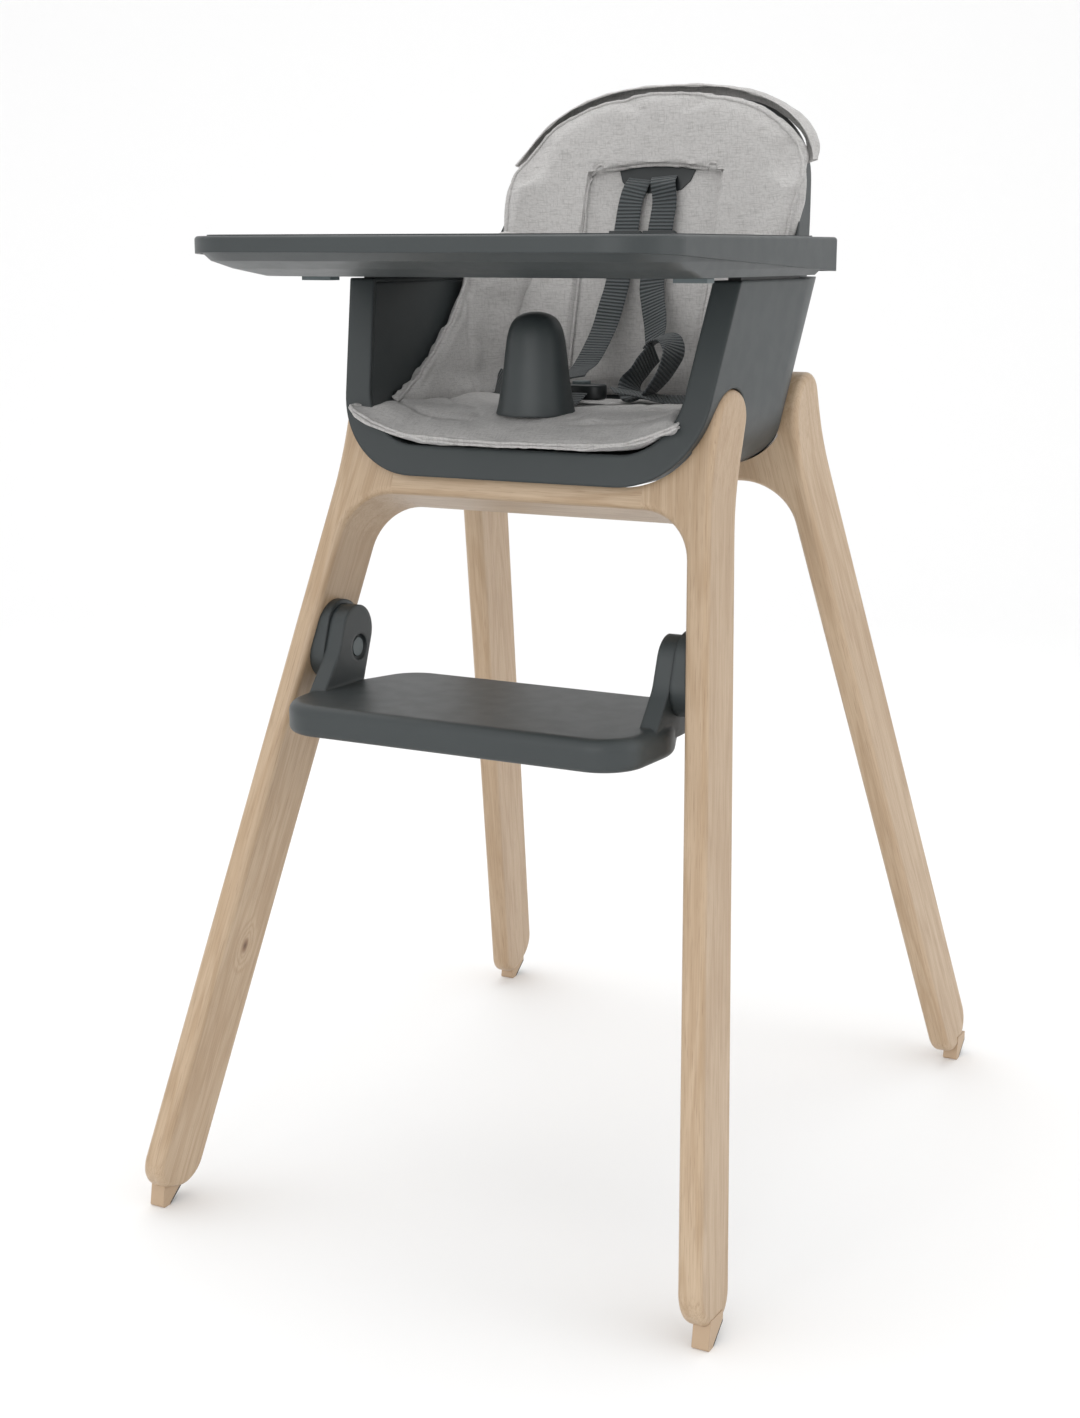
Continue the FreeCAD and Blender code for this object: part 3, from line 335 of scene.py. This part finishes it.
def smooth_curve(points, steps=10, cyclic=False):
    """Points along a Catmull-Rom curve through the given ones."""
    points = [Vector(p) for p in points]
    count = len(points)
    out = []
    for i in range(count if cyclic else count - 1):
        if cyclic:
            p0, p1, p2, p3 = (points[(i + k) % count] for k in (-1, 0, 1, 2))
        else:
            p0, p1 = points[max(i - 1, 0)], points[i]
            p2, p3 = points[i + 1], points[min(i + 2, count - 1)]
        for step in range(steps):
            u = step / steps
            out.append(0.5 * ((2 * p1) + (p2 - p0) * u + (2 * p0 - 5 * p1 + 4 * p2 - p3) * u * u
                              + (3 * p1 - p0 - 3 * p2 + p3) * u ** 3))
    if not cyclic:
        out.append(points[-1])
    return out


def evenly(points, gap, cyclic=False):
    """The same line with its points an even gap apart."""
    points = points + [points[0]] if cyclic else points
    lengths = [0.0]
    for a, b in zip(points, points[1:]):
        lengths.append(lengths[-1] + (b - a).length)
    count = max(3, round(lengths[-1] / gap))
    out, i = [], 0
    for k in range(count if cyclic else count + 1):
        want = lengths[-1] * k / count
        while i < len(lengths) - 2 and lengths[i + 1] < want:
            i += 1
        run = lengths[i + 1] - lengths[i]
        out.append(points[i].lerp(points[i + 1], (want - lengths[i]) / run if run else 0))
    return out


def ring_faces(rings, around, cyclic=False):
    """Faces of a skin through rings of vertices, capped at its ends unless it closes on itself."""
    faces = []
    for i in range(rings if cyclic else rings - 1):
        j = (i + 1) % rings
        for k in range(around):
            m = (k + 1) % around
            faces.append((i * around + k, i * around + m, j * around + m, j * around + k))
    if not cyclic:
        faces.append(tuple(reversed(range(around))))
        faces.append(tuple(range((rings - 1) * around, rings * around)))
    return faces


def tube(name, points, radius, material, cyclic=False, sides=10, swell=0.0):
    """A cord along points. swell makes the small bulges of a piped edge."""
    verts = []
    count = len(points)
    up = Vector((0.31, 0.17, 0.93))     # lies along none of the tubes
    for i, p in enumerate(points):
        ahead = points[(i + 1) % count] if cyclic else points[min(i + 1, count - 1)]
        behind = points[i - 1] if cyclic else points[max(i - 1, 0)]
        run = (ahead - behind).normalized()
        side = run.cross(up).normalized()
        other = side.cross(run)
        size = radius * (1 + swell * math.sin(i * 1.7) * math.sin(i * 0.37))
        for k in range(sides):
            angle = 2 * math.pi * k / sides
            verts.append(p + side * (size * math.cos(angle)) + other * (size * math.sin(angle)))
    obj = new_object(name, verts, ring_faces(count, sides, cyclic))
    dress(obj, material, 60)
    return obj


def pad(name, outline, thickness, place, gap=0.006):
    """A closed slab over an outline. place(u, v, w) maps flat coordinates and depth to a place."""
    line = evenly(outline, gap, cyclic=True)
    mesh = bmesh.new()
    loops = []
    for w in (0.0, thickness):
        loops.append([mesh.verts.new(Vector((p.x, p.y, w))) for p in line])
    mesh.faces.new(loops[0][::-1])
    mesh.faces.new(loops[1])
    count = len(line)
    for i in range(count):
        j = (i + 1) % count
        mesh.faces.new((loops[0][i], loops[0][j], loops[1][j], loops[1][i]))
    bmesh.ops.recalc_face_normals(mesh, faces=mesh.faces)
    data = bpy.data.meshes.new(name)
    mesh.to_mesh(data)
    mesh.free()
    obj = bpy.data.objects.new(name, data)
    bpy.context.scene.collection.objects.link(obj)
    remesh(obj, 0.005)
    for vertex in obj.data.vertices:
        vertex.co = place(*vertex.co)
    return obj


def apply_modifiers(obj):
    """Turn what the modifiers make into the object's own mesh."""
    depsgraph = bpy.context.evaluated_depsgraph_get()
    fresh = bpy.data.meshes.new_from_object(obj.evaluated_get(depsgraph))
    old = obj.data
    obj.modifiers.clear()
    obj.data = fresh
    bpy.data.meshes.remove(old)


def remesh(obj, voxel):
    step = obj.modifiers.new("Remesh", "REMESH")
    step.mode = "VOXEL"
    step.voxel_size = voxel
    apply_modifiers(obj)


def positions(obj):
    """Every vertex's place, as rows of an array."""
    flat = np.zeros(len(obj.data.vertices) * 3)
    obj.data.vertices.foreach_get("co", flat)
    return flat.reshape(-1, 3)


def set_positions(obj, points):
    obj.data.vertices.foreach_set("co", np.asarray(points, float).ravel())
    obj.data.update()


def normals(obj):
    return np.array([v.normal[:] for v in obj.data.vertices])


def puffed(obj, pressure, cap):
    """Fill a pad with cloth pressure, holding every point within cap of where it started."""
    before = positions(obj)
    scene = bpy.context.scene
    sim = obj.modifiers.new("Cloth", "CLOTH")
    sim.settings.quality = 5
    sim.settings.mass = 0.3
    sim.settings.use_pressure = True
    sim.settings.uniform_pressure_force = pressure
    sim.settings.effector_weights.gravity = 0
    sim.settings.tension_stiffness = 12
    sim.settings.compression_stiffness = 12
    sim.settings.bending_stiffness = 0.4
    sim.point_cache.frame_start = 1
    sim.point_cache.frame_end = 20
    for step in range(1, 21):
        scene.frame_set(step)
    apply_modifiers(obj)
    scene.frame_set(1)
    after = positions(obj)
    moved = after - before
    far = np.linalg.norm(moved, axis=1, keepdims=True)
    set_positions(obj, before + moved * np.minimum(1, cap / np.maximum(far, 1e-9)))
    finer = obj.modifiers.new("Subdivision", "SUBSURF")
    finer.levels = finer.render_levels = 1
    apply_modifiers(obj)


def to_line(points, line):
    """Each point's distance to a line of 3-D points."""
    best = np.full(len(points), 1e9)
    for a, b in zip(line, line[1:]):
        a, run = np.array(a), np.array(b) - np.array(a)
        t = np.clip(((points - a) @ run) / max(run @ run, 1e-12), 0, 1)
        best = np.minimum(best, np.linalg.norm(points - a - t[:, None] * run, axis=1))
    return best


def stitched(obj, lines, depth, width, pucker=0.0006):
    """Press sewn seams into a pad, with small puckers across each seam."""
    points, facing = positions(obj), normals(obj)
    for line in lines:
        away = to_line(points, line)
        dip = np.exp(-(away / width) ** 2)
        near = np.exp(-(away / (width * 3)) ** 2) - dip
        ripple = np.array([noise.noise(Vector(p) * 190) for p in points])
        points = (points - facing * (dip * depth)[:, None]
                  + facing * (near * ripple * pucker)[:, None])
    set_positions(obj, points)


def rumpled(obj, size, height, stretch=(1, 1, 1)):
    """Low, soft folds in cloth."""
    points, facing = positions(obj), normals(obj)
    amounts = []
    for p in points:
        q = Vector((p[0] * stretch[0], p[1] * stretch[1], p[2] * stretch[2])) * size
        amounts.append((noise.noise(q) + 0.5 * noise.noise(q * 2.1)) * height)
    set_positions(obj, points + facing * np.array(amounts)[:, None])


def laid_on(obj, points, proud):
    """Points moved onto the nearest place of a pad's surface, a little proud of it."""
    tree = BVHTree.FromPolygons([v.co for v in obj.data.vertices],
                                [p.vertices for p in obj.data.polygons])
    out = []
    for p in points:
        hit, normal, _, _ = tree.find_nearest(Vector(p))
        out.append(hit + normal * proud)
    return out


def ribbon(name, path, across, width, thick=0.0013, steps=8):
    """Webbing along a path. across gives the strap's sideways direction at each point."""
    line = smooth_curve(path, steps)
    sides = smooth_curve(across, steps) if isinstance(across, list) else None
    ring = [(-0.5, 0.15), (-0.47, 0.5), (-0.25, 0.5), (0, 0.5), (0.25, 0.5), (0.47, 0.5),
            (0.5, 0.15), (0.5, -0.15), (0.47, -0.5), (0.25, -0.5), (0, -0.5), (-0.25, -0.5),
            (-0.47, -0.5), (-0.5, -0.15)]
    count, around = len(line), len(ring)
    verts, travel = [], [0.0]
    for a, b in zip(line, line[1:]):
        travel.append(travel[-1] + (b - a).length)
    for i, p in enumerate(line):
        run = (line[min(i + 1, count - 1)] - line[max(i - 1, 0)]).normalized()
        wanted = sides[i] if sides else Vector(across)
        side = (wanted - run * wanted.dot(run)).normalized()
        out = side.cross(run)
        for u, w in ring:
            verts.append(p + side * (u * width) + out * (w * thick))
    obj = new_object(name, verts, ring_faces(count, around))
    uv = obj.data.uv_layers.new(name="UVMap")
    for loop in obj.data.loops:
        i, k = divmod(loop.vertex_index, around)
        uv.data[loop.index].uv = (ring[k][0] * width, travel[i])
    dress(obj, web_look, 50)
    return obj


# ---------------------------------------------------------------- back cushion

# The seat's inside, at a height of SEAT_MID: its back leans and its side walls flare above that.
SEAT_MID, BACK_Y, BACK_SLOPE, WALL_X, WALL_SLOPE = 0.7, 0.090, 0.3, 0.146, 0.125
corner_round, corner_start, corner_most = 0.071, 0.075, 0.050
curl_top, curl_fade = 0.915, 0.055
back_gap = 0.0008


def back_place(u, v, w):
    """u across, v up, and w ahead of the seat's inner back, which curves forward at its sides."""
    across = min(max(0, abs(u) - corner_start - WALL_SLOPE * (v - SEAT_MID)), corner_most)
    curl = corner_round - math.sqrt(corner_round ** 2 - across ** 2)
    free = min(max((curl_top - v) / curl_fade, 0), 1)
    curl *= free * free * (3 - 2 * free)
    return Vector((u, BACK_Y + BACK_SLOPE * (v - SEAT_MID) - back_gap - curl - w, v))


arch_half, arch_top, arch_spring, arch_squareness, arch_fullness = 0.154, 0.957, 0.858, 0.80, 0.92
arch_steps = 24
back_outline = [Vector((-0.118, 0.672, 0)), Vector((0.118, 0.672, 0)), Vector((0.141, 0.770, 0)),
                Vector((0.150, 0.820, 0))]
for step in range(arch_steps + 1):
    angle = math.pi * step / arch_steps
    x = arch_half * math.copysign(abs(math.cos(angle)) ** arch_squareness, math.cos(angle))
    rise = (arch_top - arch_spring) * math.sin(angle) ** arch_fullness
    back_outline.append(Vector((x, arch_spring + rise, 0)))
back_outline += [Vector((-0.150, 0.820, 0)), Vector((-0.141, 0.770, 0))]
back = pad("back_cushion_cover", back_outline, 0.013, back_place)
puffed(back, 4, 0.008)

window_half, window_side, window_crown = 0.065, 0.877, 0.885
window_line = [(-window_half + 0.004, 0.705), (-window_half, 0.80), (-window_half, window_side),
               (-0.035, window_crown - 0.003), (0, window_crown), (0.035, window_crown - 0.003),
               (window_half, window_side), (window_half, 0.80), (window_half - 0.004, 0.705)]


def window_top(x):
    return window_crown - (window_crown - window_side) * (x / window_half) ** 2


def recess_window(obj, depth):
    """The centre panel lies lower than the padded arch around it."""
    points = positions(obj)
    facing = normals(obj)
    for i, p in enumerate(points):
        if facing[i][1] > 0.1:
            continue
        inside = min(window_half - abs(p[0]), window_top(p[0]) - p[2])
        sink = min(max(inside / 0.004 + 0.5, 0), 1)
        points[i][1] += depth * sink
    set_positions(obj, points)


recess_window(back, 0.0075)
window_3d = [back_place(u, v, 0.016) for u, v in window_line]
window_3d = laid_on(back, evenly(smooth_curve(window_3d, 6), 0.003), 0.0)
channels = [[back_place(s * 0.104, 0.70, 0.015), back_place(s * 0.112, 0.79, 0.015),
             back_place(s * 0.117, 0.815, 0.015)] for s in (-1, 1)]
folds = [[back_place(s * 0.066, 0.878, 0.017), back_place(s * 0.080, 0.893, 0.017),
          back_place(s * 0.094, 0.905, 0.017)] for s in (-1, 1)]
stitched(back, [window_3d], 0.0022, 0.0022)
stitched(back, channels, 0.0035, 0.0028)
stitched(back, folds, 0.0020, 0.0030)
rumpled(back, 24, 0.0011, (1, 1, 0.7))
rumpled(back, 60, 0.0005)
dress(back, back_cloth, 80)
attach(back, "chair")
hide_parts("back_cushion")

rim = [back_place(p.x * 0.965, 0.7 + (p.y - 0.7) * 0.978, 0.018)
       for p in evenly(back_outline[2:-1], 0.0035)]
rim_line = laid_on(back, rim, 0.0003)
piping = tube("back_cushion_piping", rim_line, 0.0016, back_cloth, swell=0.25)
hem = tube("back_window_hem", laid_on(back, window_3d, 0.0006), 0.0013, back_cloth, swell=0.2)


def turned_hood(depth, starts, full, hub):
    """The cover's edge, turned back over the top of the shell like a fitted sheet."""
    line = evenly([p for p in back_outline if p.y > starts], 0.004)
    rings = [(0.985, 0.15), (1.0, 0.0), (1.004, -0.5), (1.0, -0.88), (0.975, -1.0), (0.925, -1.0)]
    verts, faces = [], []
    for size, back_by in rings:
        for p in line:
            fade = min(1, max(0, (p.y - starts) / (full - starts)))
            u, v = p.x * size, hub + (p.y - hub) * size
            verts.append(back_place(u, v, depth * back_by * (fade if back_by < 0 else 1)))
    count = len(line)
    for ring in range(len(rings) - 1):
        for i in range(count - 1):
            a = ring * count + i
            faces.append((a, a + 1, a + 1 + count, a + count))
    obj = new_object("back_cushion_hood", verts, faces)
    skin = obj.modifiers.new("Skin", "SOLIDIFY")
    skin.thickness = 0.0012
    apply_modifiers(obj)
    rumpled(obj, 55, 0.0009)
    dress(obj, back_cloth, 60)
    return obj


hood = turned_hood(0.019, 0.880, 0.915, 0.86)
for trim in (piping, hem, hood):
    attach(trim, "chair")


# ---------------------------------------------------------------- seat cushion

seat_level, seat_droop, seat_lift, seat_thinning = 0.664, 0.0135, 0.012, 0.48


def seat_place(u, v, w):
    """u across, v back, and w up. The front edge droops, and the sides lift to meet the wings."""
    ahead, aside = max(0, (-0.10 - v) / 0.065), max(0, (abs(u) - 0.100) / 0.050)
    droop = -seat_droop * ahead ** 1.6 * (1 - abs(u / 0.150) ** 3.5)
    thin = 1 - seat_thinning * min(1, max(0, (-0.11 - v) / 0.05))
    return Vector((u, v, seat_level + droop + seat_lift * aside ** 1.5 + w * thin))


seat_outline = smooth_curve([(0.0, -0.1665, 0), (0.070, -0.1655, 0), (0.125, -0.1600, 0),
                             (0.1470, -0.1560, 0), (0.1455, -0.120, 0), (0.1400, -0.060, 0),
                             (0.1360, 0.010, 0), (0.120, 0.052, 0), (0.0, 0.060, 0),
                             (-0.120, 0.052, 0), (-0.1360, 0.010, 0), (-0.1400, -0.060, 0),
                             (-0.1475, -0.120, 0), (-0.1590, -0.1560, 0), (-0.130, -0.1610, 0),
                             (-0.070, -0.1655, 0)], 8, cyclic=True)
seat = pad("seat_cushion_cover", seat_outline, 0.010, seat_place)
puffed(seat, 4, 0.006)
seams = []
for s in (-1, 1):
    seams.append([seat_place(s * 0.045, -0.125, 0.014), seat_place(s * 0.085, -0.075, 0.014),
                  seat_place(s * 0.122, -0.045, 0.014)])
    seams.append([seat_place(s * 0.040, -0.100, 0.014), seat_place(s * 0.060, -0.03, 0.014),
                  seat_place(s * 0.075, 0.045, 0.014)])
    seams.append([seat_place(s * 0.048, -0.135, 0.014), seat_place(s * 0.090, -0.128, 0.014),
                  seat_place(s * 0.135, -0.112, 0.014)])
stitched(seat, seams, 0.0030, 0.0030, 0.0012)
rumpled(seat, 30, 0.0016)
rumpled(seat, 75, 0.0006)
dress(seat, seat_cloth, 80)
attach(seat, "chair")
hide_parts("seat_cushion")
piping_inset = 0.985
for name, level in (("seat_piping_top", 0.0125), ("seat_piping_under", -0.001)):
    edge = [seat_place(p.x * piping_inset, p.y * piping_inset, level)
            for p in evenly(seat_outline, 0.0035, True)]
    edge = laid_on(seat, edge, 0.0003)
    trim = tube(name, edge, 0.0014, seat_cloth, cyclic=True, swell=0.25)
    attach(trim, "chair")


# ---------------------------------------------------------------- side cushions

def wall_x(z):
    """X of the seat's inner side wall at a height."""
    return WALL_X + WALL_SLOPE * (z - SEAT_MID)


def wing_place(side):
    """u back, v up and w in from a side wall, following its rounded foot and rear corner."""
    foot_curl, foot_up, foot_deep = 0.020, 0.705, 0.035
    rear_curl, rear_y, rear_deep = 0.030, 0.030, 0.045
    wall_gap = 0.0015

    def place(u, v, w):
        curl = foot_curl * max(0, (foot_up - v) / foot_deep) ** 2
        rear = rear_curl * max(0, (u - rear_y) / rear_deep) ** 2
        return Vector((side * (wall_x(v) - wall_gap - w - curl - rear), u, v))
    return place


wing_edge = [(-0.118, 0.683), (-0.094, 0.694), (-0.060, 0.713), (-0.027, 0.737), (0.004, 0.760),
             (0.030, 0.786)]
wing_outline = [Vector((y, z, 0)) for y, z in wing_edge + [
    (0.052, 0.812), (0.082, 0.830), (0.090, 0.800), (0.078, 0.740), (0.066, 0.690), (0.040, 0.676),
    (-0.040, 0.674), (-0.095, 0.676)]]
for side, hand in ((1, "left"), (-1, "right")):
    place = wing_place(side)
    wing = pad(f"side_cushion_cover_{hand}", wing_outline, 0.008, place)
    puffed(wing, 3, 0.005)
    seam = [place(y + 0.007, z - 0.007, 0.012) for y, z in wing_edge]
    stitched(wing, [seam], 0.0018, 0.0020, 0.0010)
    stitched(wing, [[place(0.012, 0.686, 0.013), place(0.022, 0.74, 0.013),
                     place(0.036, 0.785, 0.013)]], 0.0030, 0.0030)
    rumpled(wing, 26, 0.0022)
    rumpled(wing, 60, 0.0008)
    dress(wing, wing_cloth, 80)
    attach(wing, "chair")
    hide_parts(f"side_cushion_{hand}")
    edge = [place(y, z, 0.009) for y, z in wing_edge]
    edge = laid_on(wing, evenly(smooth_curve(edge, 6), 0.0035), 0.0004)
    trim = tube(f"side_cushion_piping_{hand}", edge, 0.0016, wing_cloth, swell=0.25)
    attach(trim, "chair")


# ---------------------------------------------------------------- crotch post

def turned_post():
    """The rounded post: a flared foot, nearly straight sides and a domed top."""
    low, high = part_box("crotch_post")
    centre = (low + high) / 2
    profile = [(0.0345, 0.000), (0.0338, 0.003), (0.0322, 0.008), (0.0308, 0.016),
               (0.0290, 0.028), (0.0272, 0.042), (0.0254, 0.058), (0.0238, 0.068),
               (0.0208, 0.0765), (0.0158, 0.0820), (0.0085, 0.0848), (0.0030, 0.0855)]
    around, flatter, sunk = 48, 0.93, 0.003
    verts = []
    for radius, up in profile:
        for k in range(around):
            angle = 2 * math.pi * k / around
            verts.append((centre.x + radius * math.cos(angle),
                          centre.y + radius * flatter * math.sin(angle), low.z - sunk + up))
    obj = new_object("crotch_post_moulding", verts, ring_faces(len(profile), around))
    finer = obj.modifiers.new("Subdivision", "SUBSURF")
    finer.levels = finer.render_levels = 2
    apply_modifiers(obj)
    dress(obj, shell_look, 60)
    return obj


post = turned_post()
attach(post, "chair")
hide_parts("crotch_post")


# ---------------------------------------------------------------- harness

def strap_piece(obj, slot_name, *stands_for):
    """Fix a piece of the harness to the chair, in the place of its plain solid."""
    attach(obj, "chair")
    if stands_for:
        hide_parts(*stands_for)
    return obj


WEB = 0.024


def strap_y(z):
    """Y of the shoulder straps where they hang straight, through their adjusters."""
    return 0.086 + 0.3656 * (z - 0.775)


left_path = [(0.009, 0.124, 0.874), (0.011, 0.1165, 0.868), (0.0138, strap_y(0.852), 0.852),
             (0.014, strap_y(0.832), 0.832), (0.014, strap_y(0.784), 0.784),
             (0.020, 0.078, 0.764), (0.029, 0.064, 0.745), (0.036, 0.048, 0.728)]
right_path = [(-0.016, 0.126, 0.872), (-0.017, 0.1195, 0.866), (-0.0198, strap_y(0.852), 0.852),
              (-0.020, strap_y(0.832), 0.832), (-0.020, strap_y(0.784), 0.784),
              (-0.021, 0.078, 0.762), (-0.022, 0.062, 0.738), (-0.022, 0.030, 0.712),
              (-0.020, 0.002, 0.7035), (-0.015, -0.014, 0.7005)]
strap_piece(ribbon("shoulder_strap_cover_left", left_path,
                   [(1, 0.05, 0), (1, 0, 0), (1, 0, 0), (1, 0, 0), (1, 0, 0), (1, -0.15, 0.05),
                    (1, -0.3, 0.1), (0.9, -0.5, 0.2)], WEB), "web", "shoulder_strap_left")
strap_piece(ribbon("shoulder_strap_cover_right", right_path,
                   [(1, 0.1, 0), (1, 0.05, 0), (1, 0, 0), (1, 0, 0), (1, 0, 0), (1, 0.15, 0.05),
                    (1, 0.2, 0.15), (0.95, 0.3, 0.2), (0.8, 0.5, 0.2), (0.7, 0.6, 0.2)], WEB),
            "web", "shoulder_strap_right")
loop_path = [(0.040, 0.040, 0.722), (0.034, 0.024, 0.708), (0.030, 0.012, 0.694),
             (0.038, 0.000, 0.6845), (0.052, -0.002, 0.688), (0.064, 0.004, 0.704),
             (0.068, 0.014, 0.722), (0.060, 0.026, 0.7335), (0.046, 0.036, 0.7345),
             (0.036, 0.042, 0.728)]
strap_piece(ribbon("hip_loop_cover", loop_path, (0.25, 0.9, 0.2), WEB, 0.0022), "web", "hip_loop")
strap_piece(ribbon("waist_strap_cover_left",
                   [(0.126, 0.050, 0.690), (0.108, 0.036, 0.6835), (0.088, 0.020, 0.682),
                    (0.066, 0.002, 0.6835), (0.046, -0.014, 0.6885), (0.030, -0.026, 0.692)],
                   [(0.2, 0.5, 0.8), (0, 0.6, 0.6), (-0.1, 0.9, 0.3), (-0.3, 0.9, 0.2),
                    (-0.4, 0.9, 0.1), (-0.4, 0.9, 0.1)], WEB), "web", "waist_strap_left")
strap_piece(ribbon("waist_strap_cover_right",
                   [(-0.126, 0.050, 0.692), (-0.100, 0.030, 0.6845), (-0.072, 0.012, 0.6825),
                    (-0.044, -0.006, 0.6840), (-0.024, -0.018, 0.688), (-0.008, -0.030, 0.6915)],
                   [(-0.2, 0.5, 0.8), (0, 0.6, 0.6), (0.1, 0.9, 0.3), (0.3, 0.9, 0.2),
                    (0.4, 0.9, 0.1), (0.4, 0.9, 0.1)], WEB), "web", "waist_strap_right")
strap_piece(ribbon("crotch_strap_cover", [(0.004, -0.078, 0.679), (0.004, -0.068, 0.6815),
                                          (0.004, -0.056, 0.6855), (0.004, -0.046, 0.690)],
                   (1, 0, 0), WEB), "web", "crotch_strap")


def plate(name, outline, thick, place, material, bevel=0.0008):
    """A flat moulded piece with softened edges."""
    verts, faces = [], []
    count = len(outline)
    for w in (0.0, thick):
        verts += [place(p[0], p[1], w) for p in outline]
    faces.append(tuple(reversed(range(count))))
    faces.append(tuple(range(count, 2 * count)))
    for i in range(count):
        j = (i + 1) % count
        faces.append((i, j, count + j, count + i))
    obj = new_object(name, verts, faces)
    edge = obj.modifiers.new("Bevel", "BEVEL")
    edge.width, edge.segments, edge.limit_method = bevel, 3, "ANGLE"
    apply_modifiers(obj)
    mesh = bmesh.new()
    mesh.from_mesh(obj.data)
    bmesh.ops.recalc_face_normals(mesh, faces=mesh.faces)
    mesh.to_mesh(obj.data)
    mesh.free()
    dress(obj, material, 40)
    return obj


slot_outline = [(0.038, 0.8800), (0.020, 0.8832), (0, 0.8842), (-0.020, 0.8832), (-0.038, 0.8800),
                (-0.034, 0.870), (-0.026, 0.8625), (-0.012, 0.8595), (0.012, 0.8595),
                (0.026, 0.8625), (0.034, 0.870)]
slot_plate = plate("harness_slot_cover", slot_outline, 0.0025,
                   lambda u, v, w: back_place(u, v, 0.0125 + w), dark_look)
strap_piece(slot_plate, "dark_plastic", "harness_slot_plate")


def buckle_shape():
    """The buckle's rounded case, in the place of its plain solid."""
    low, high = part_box("buckle_body")
    mid = (low + high) / 2
    outline = []
    for k in range(32):
        angle = 2 * math.pi * k / 32
        x = 0.022 * math.copysign(abs(math.cos(angle)) ** 0.6, math.cos(angle))
        y = 0.0115 * math.copysign(abs(math.sin(angle)) ** 0.6, math.sin(angle))
        outline.append((x, y))
    return plate("buckle_cover", outline, high.z - low.z - 0.001,
                 lambda u, v, w: Vector((mid.x + u, mid.y + v, low.z + w)), dark_look, 0.0022)


strap_piece(buckle_shape(), "dark_plastic", "buckle_body")

for hand in ("left", "right"):
    dress(nodes[f"strap_adjuster_{hand}"], dark_look)


# ---------------------------------------------------------------- floor, light and camera

CAMERA_TURN = math.radians(27.58)


def backdrop():
    """A white floor that curves up into a wall behind the chair."""
    look = Look("studio_white", 0.9)
    look.surface.inputs["Specular IOR Level"].default_value = 0.1
    look.color((0.91, 0.91, 0.91, 1))
    size, behind, curve, height, steps = 14.0, 2.6, 1.6, 6.0, 12
    verts, faces = [], []
    profile = [(-size, 0.0), (behind, 0.0)]
    for step in range(1, steps + 1):
        angle = math.pi / 2 * step / steps
        profile.append((behind + curve * math.sin(angle), curve * (1 - math.cos(angle))))
    profile.append((behind + curve, height))
    for y, z in profile:
        verts += [(-size, y, z), (size, y, z)]
    for i in range(len(profile) - 1):
        faces.append((2 * i, 2 * i + 1, 2 * i + 3, 2 * i + 2))
    obj = new_object("studio_floor", verts, faces)
    obj.rotation_euler = (0, 0, CAMERA_TURN)
    dress(obj, look.material)
    return obj


backdrop()


def softbox(name, place, target, size, watts):
    data = bpy.data.lights.new(name, "AREA")
    data.shape = "RECTANGLE"
    data.size, data.size_y = size
    data.energy = watts
    obj = bpy.data.objects.new(name, data)
    bpy.context.scene.collection.objects.link(obj)
    obj.location = place
    obj.rotation_euler = (Vector(target) - Vector(place)).to_track_quat("-Z", "Y").to_euler()


softbox("key_light", (0.1, -3.4, 1.5), (0, 0, 0.6), (2.4, 1.6), 22)
softbox("side_light", (3.0, 0.3, 1.3), (0, 0, 0.6), (1.4, 2.2), 9)
softbox("top_light", (-0.6, 0.2, 3.2), (0, 0, 0), (2.6, 2.6), 24)

world = bpy.data.worlds.new("studio")
world.use_nodes = True
world.node_tree.nodes["Background"].inputs["Color"].default_value = (1, 1, 1, 1)
world.node_tree.nodes["Background"].inputs["Strength"].default_value = 1.0
bpy.context.scene.world = world
bpy.context.scene.view_settings.view_transform = "Standard"

camera_data = bpy.data.cameras.new("camera")
camera_data.sensor_width = 36
camera_data.lens = 51.67
camera = bpy.data.objects.new("camera", camera_data)
camera.location = (0.792, -1.619, 0.810)
camera.rotation_euler = (math.radians(77.27), 0, CAMERA_TURN)
bpy.context.scene.collection.objects.link(camera)
bpy.context.scene.camera = camera
